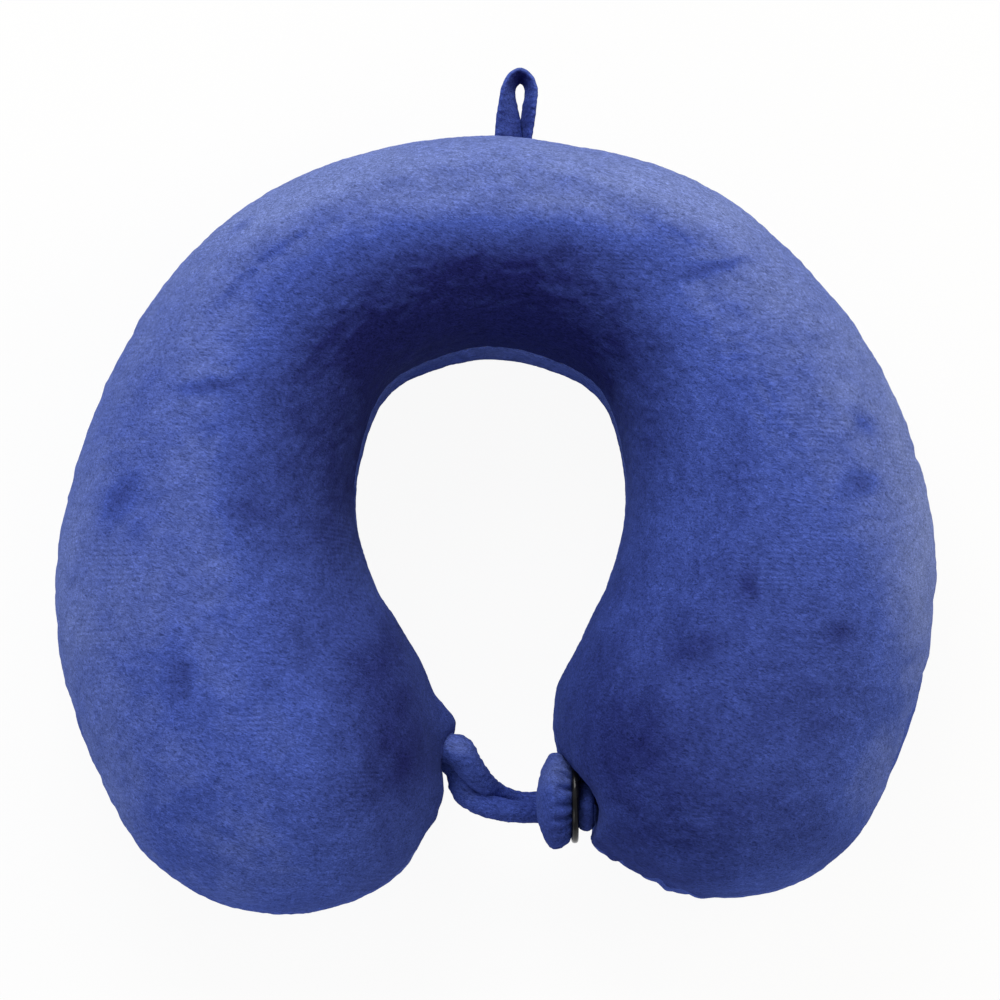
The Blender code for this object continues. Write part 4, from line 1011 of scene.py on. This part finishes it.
def moulded_plastic(name, colour, mark, roughness, shine):
    """Moulded plastic: a colour with faint marks, and a slightly uneven gloss."""
    material, make, link, shader = new_material(name)
    place = make("ShaderNodeTexCoord")
    marks = make("ShaderNodeTexNoise")
    marks.inputs["Scale"].default_value = 420.0
    marks.inputs["Detail"].default_value = 4.0
    link(place.outputs["Object"], marks.inputs["Vector"])
    link(colour_ramp(make, link, marks.outputs["Fac"], (0.45, colour), (0.80, mark)),
         shader.inputs["Base Color"])
    link(spread_value(make, link, marks.outputs["Fac"], 0.3, 0.7, roughness * 0.8, roughness * 1.3),
         shader.inputs["Roughness"])
    set_bump(make, link, shader, marks.outputs["Fac"], 0.12, 0.0001)
    shader.inputs["Specular IOR Level"].default_value = shine
    return material


def rounded_corner(radius, front, size, start, end):
    """Six points round a quarter circle about a place on the profile, between two angles in degrees."""
    angle = np.radians(np.linspace(start, end, 6))
    return list(zip(radius + size * np.cos(angle), front + size * np.sin(angle)))


crown_turn = np.linspace(0.0, math.pi / 2, 26)
crown_radius = BUTTON_RADIUS * np.sin(crown_turn) ** (2 / BUTTON_CROWN_POWER)
crown_front = BUTTON_WIDEST + BUTTON_CROWN * np.cos(crown_turn) ** (2 / BUTTON_CROWN_POWER)
roll_turn = np.linspace(0.0, math.pi / 2, 12)[1:]
roll_radius = BUTTON_RADIUS - BUTTON_BACK_FALL * (1.0 - np.cos(roll_turn) ** (2 / BUTTON_BACK_POWER))
roll_front = BUTTON_WIDEST - BUTTON_BACK_ROLL * np.sin(roll_turn) ** (2 / BUTTON_BACK_POWER)
back_radius = np.linspace(BUTTON_RADIUS - BUTTON_BACK_FALL, 0.0, 10)[1:]
back_front = np.full(9, BUTTON_WIDEST - BUTTON_BACK_ROLL)
button_profile = np.stack([np.concatenate([crown_radius, roll_radius, back_radius]),
                           np.concatenate([crown_front, roll_front, back_front])], axis=-1)
gathered = np.exp(-((button_profile[:, 1] - PLATE_THICKNESS) / GATHER_REACH) ** 2)
button_grid = turned(button_profile, button_hub, BUTTON_STEPS, gathered)
button_cover = velour_piece("gathered_button_cover", button_grid, BUTTON_DRIFTS, SMALL_PILE)
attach(button_cover, "button")
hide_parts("button_cover")

dome_node = bpy.data.objects["button_dome"]
dome_node.material_slots[0].material = moulded_plastic("grey_former", DOME_COLOUR, DOME_SPECK, 0.5, 0.5)

spigot_front = PLATE_THICKNESS + PLATE_SPIGOT_LENGTH - PLATE_SPIGOT_CHAMFER
spigot_shoulder = PLATE_THICKNESS + PLATE_SPIGOT_LENGTH - 2 * PLATE_SPIGOT_CHAMFER
plate_profile = [(0.0, spigot_front), (PLATE_SPIGOT_RADIUS - PLATE_SPIGOT_CHAMFER, spigot_front),
                 (PLATE_SPIGOT_RADIUS, spigot_shoulder), (PLATE_SPIGOT_RADIUS, PLATE_THICKNESS),
                 *rounded_corner(PLATE_RADIUS - PLATE_EDGE, PLATE_THICKNESS - PLATE_EDGE, PLATE_EDGE, 90, 0),
                 *rounded_corner(PLATE_RADIUS - PLATE_EDGE, PLATE_EDGE, PLATE_EDGE, 0, -90),
                 (PLATE_RADIUS * PLATE_RECESS_SHARE, PLATE_RECESS),
                 (PLATE_BOSS_RADIUS + PLATE_BOSS_FLARE, PLATE_RECESS), (PLATE_BOSS_RADIUS, 0.0),
                 (PLATE_BOSS_RADIUS, -PLATE_BOSS_LENGTH + PLATE_BOSS_CHAMFER),
                 (PLATE_BOSS_RADIUS - PLATE_BOSS_CHAMFER, -PLATE_BOSS_LENGTH),
                 (SHANK_RADIUS + SHANK_CLEARANCE, -PLATE_BOSS_LENGTH),
                 (SHANK_RADIUS + SHANK_CLEARANCE, PLATE_THICKNESS / 2), (0.0, PLATE_THICKNESS / 2)]
back_plate = grid_object("glossy_back_plate", turned(plate_profile, button_hub, PLATE_STEPS))
back_plate.data.materials.append(moulded_plastic("black_gloss", PLATE_COLOUR, PLATE_SCUFF, 0.16, 0.25))
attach(back_plate, "button")
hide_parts("button_back_plate")

shank_line = np.linspace(-SHANK_IN_PLATE, SHANK_LENGTH + SHANK_SUNK, SHANK_RINGS)
shank_turn = np.linspace(0.0, 2 * math.pi, SHANK_SIDES, endpoint=False)
winding = np.cos(2 * math.pi * shank_line[:, None] / SHANK_TURN - shank_turn[None, :])
shank_reach = SHANK_RADIUS * (0.92 + 0.10 * winding)
shank_reach[[0, -1]] = 0.0
shank_grid = np.stack([button_hub[0] + shank_line[:, None] + 0.0 * shank_reach,
                       button_hub[1] + shank_reach * np.cos(shank_turn),
                       button_hub[2] + shank_reach * np.sin(shank_turn)], axis=-1)
shank = grid_object("wound_button_thread", shank_grid)
shank.data.materials.append(seam_stitches.data.materials[0])
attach(shank, "pillow")
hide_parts("button_thread")


# Zip: two woven tapes sewn behind the slot in the lower panel, each with a row of nylon teeth, plated stops
# at the ends, and a plated slider with a pull tab.
TAPE_RINGS = 40
TAPE_SIDES = 28
TAPE_CORNER_POWER = 7.0
TAPE_RIB = 0.0007
TAPE_COLOUR = (0.022, 0.032, 0.145, 1.0)
# Painted shade between the tape's ribs
TAPE_RIB_SHADE = (0.010, 0.014, 0.075, 1.0)
TEETH_COLOUR = (0.025, 0.035, 0.160, 1.0)
TEETH_WORN = (0.050, 0.062, 0.220, 1.0)
METAL_COLOUR = (0.62, 0.62, 0.64, 1.0)
METAL_DULL = (0.47, 0.47, 0.48, 1.0)


def tape_material():
    """Navy woven tape: ribs across it."""
    material, make, link, shader = new_material("navy_zip_tape")
    place = make("ShaderNodeTexCoord")
    ribs = make("ShaderNodeTexWave")
    ribs.bands_direction = "X"
    ribs.inputs["Scale"].default_value = 0.314 / TAPE_RIB
    ribs.inputs["Distortion"].default_value = 0.5
    link(place.outputs["Object"], ribs.inputs["Vector"])
    # Painted shade in the troughs between the ribs
    link(colour_ramp(make, link, ribs.outputs["Fac"], (0.1, TAPE_RIB_SHADE), (0.7, TAPE_COLOUR)),
         shader.inputs["Base Color"])
    set_bump(make, link, shader, ribs.outputs["Fac"], 0.6, 0.0002)
    shader.inputs["Roughness"].default_value = 0.8
    return material


def plated_metal():
    """Plated zinc: grey with duller patches and a faint bump."""
    material, make, link, shader = new_material("plated_zinc")
    place = make("ShaderNodeTexCoord")
    patches = make("ShaderNodeTexNoise")
    patches.inputs["Scale"].default_value = 300.0
    patches.inputs["Detail"].default_value = 5.0
    link(place.outputs["Object"], patches.inputs["Vector"])
    link(colour_ramp(make, link, patches.outputs["Fac"], (0.35, METAL_DULL), (0.65, METAL_COLOUR)),
         shader.inputs["Base Color"])
    link(spread_value(make, link, patches.outputs["Fac"], 0.3, 0.7, 0.22, 0.42), shader.inputs["Roughness"])
    set_bump(make, link, shader, patches.outputs["Fac"], 0.1, 0.0001)
    shader.inputs["Metallic"].default_value = 1.0
    return material


tape_finish = tape_material()
for name, node in (("woven_tape_front", "zip_tape_front"), ("woven_tape_back", "zip_tape_back")):
    low, high = (np.array(corner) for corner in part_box(node))
    middle, half = (low + high) / 2, (high - low) / 2
    tape_line = middle + np.linspace(-1.0, 1.0, TAPE_RINGS)[:, None] * np.array((half[0], 0.0, 0.0))
    tape_grid = sweep(tape_line, np.full(TAPE_RINGS, half[1]), np.full(TAPE_RINGS, half[2]),
                      (0.0, 0.0, 1.0), TAPE_SIDES, power=TAPE_CORNER_POWER)
    tape = grid_object(name, tape_grid)
    tape.data.materials.append(tape_finish)
    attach(tape, "pillow")
    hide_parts(node)

teeth_finish = moulded_plastic("navy_nylon", TEETH_COLOUR, TEETH_WORN, 0.45, 0.5)
metal_finish = plated_metal()
for node, finish in (("zip_teeth_front", teeth_finish), ("zip_teeth_back", teeth_finish),
                     ("zip_top_stop_front", metal_finish), ("zip_top_stop_back", metal_finish),
                     ("zip_bottom_stop", metal_finish), ("zip_slider", metal_finish),
                     ("zip_pull", metal_finish)):
    bpy.data.objects[node].material_slots[0].material = finish


# Studio: a plain pale floor, soft lamps at the back, the right and the front left, of which the right one
# is warm, and a camera that looks down on the pillow, a little from the front, as it was photographed.
FLOOR_SIZE = 6.0
FLOOR_COLOUR = (0.88, 0.88, 0.88, 1.0)
FLOOR_GLOW = 0.93
CAMERA_ELEVATION = math.radians(85.0)
CAMERA_DISTANCE = 2.0
CAMERA_TARGET = (0.0023, -0.0033, 0.046)
VIEW_WIDTH = 0.3466
WORLD_LIGHT = 0.46
LAMP_TARGET = (0.0, 0.0, 0.05)
LAMPS = (("back_light", (-0.30, 1.10, 1.10), 13.0, 0.8, (1.0, 1.0, 1.0)),
         ("right_light", (1.10, 0.30, 0.75), 6.7, 0.7, (1.0, 0.86, 0.56)),
         ("front_light", (-0.70, -1.00, 0.90), 3.5, 0.8, (1.0, 1.0, 1.0)))


def aim(item, place, target):
    """Put a lamp or camera at a place, looking at a target."""
    item.location = place
    item.rotation_euler = (Vector(target) - Vector(place)).to_track_quat("-Z", "Y").to_euler()


floor_half = FLOOR_SIZE / 2
floor_points = ((-floor_half, -floor_half, 0.0), (floor_half, -floor_half, 0.0),
                (floor_half, floor_half, 0.0), (-floor_half, floor_half, 0.0))
floor = add_object("floor", mesh_from("floor", floor_points, (0, 1, 2, 3), (0,)))
floor_material, make, link, shader = new_material("pale_floor")
shader.inputs["Base Color"].default_value = FLOOR_COLOUR
shader.inputs["Roughness"].default_value = 0.9
glow = make("ShaderNodeEmission")
path = make("ShaderNodeLightPath")
seen = combined(make, link, "MAXIMUM", path.outputs["Is Camera Ray"], path.outputs["Is Glossy Ray"])
seen = combined(make, link, "MAXIMUM", seen, path.outputs["Is Transmission Ray"])
mixed = make("ShaderNodeMixShader")
link(spread_value(make, link, seen, 0.0, 1.0, 0.0, FLOOR_GLOW), mixed.inputs["Fac"])
link(shader.outputs["BSDF"], mixed.inputs[1])
link(glow.outputs["Emission"], mixed.inputs[2])
link(mixed.outputs["Shader"], floor_material.node_tree.nodes["Material Output"].inputs["Surface"])
floor.data.materials.append(floor_material)

world = bpy.data.worlds.new("studio")
world.use_nodes = True
make, link = world.node_tree.nodes.new, world.node_tree.links.new
backdrop = world.node_tree.nodes["Background"]
backdrop.inputs["Color"].default_value = (1.0, 1.0, 1.0, 1.0)
seen = make("ShaderNodeLightPath").outputs["Is Camera Ray"]
link(spread_value(make, link, seen, 0.0, 1.0, WORLD_LIGHT, 1.0), backdrop.inputs["Strength"])
bpy.context.scene.world = world

for name, place, power, size, tint in LAMPS:
    lamp_data = bpy.data.lights.new(name, "AREA")
    lamp_data.energy = power
    lamp_data.size = size
    lamp_data.color = tint
    lamp = bpy.data.objects.new(name, lamp_data)
    bpy.context.scene.collection.objects.link(lamp)
    aim(lamp, place, LAMP_TARGET)

camera_data = bpy.data.cameras.new("camera")
camera_data.lens = camera_data.sensor_width * CAMERA_DISTANCE / VIEW_WIDTH
camera = bpy.data.objects.new("camera", camera_data)
bpy.context.scene.collection.objects.link(camera)
camera_place = np.array(CAMERA_TARGET) + CAMERA_DISTANCE * np.array(
    (0.0, -math.cos(CAMERA_ELEVATION), math.sin(CAMERA_ELEVATION)))
aim(camera, camera_place, CAMERA_TARGET)
bpy.context.scene.camera = camera
bpy.context.scene.view_settings.view_transform = "Standard"
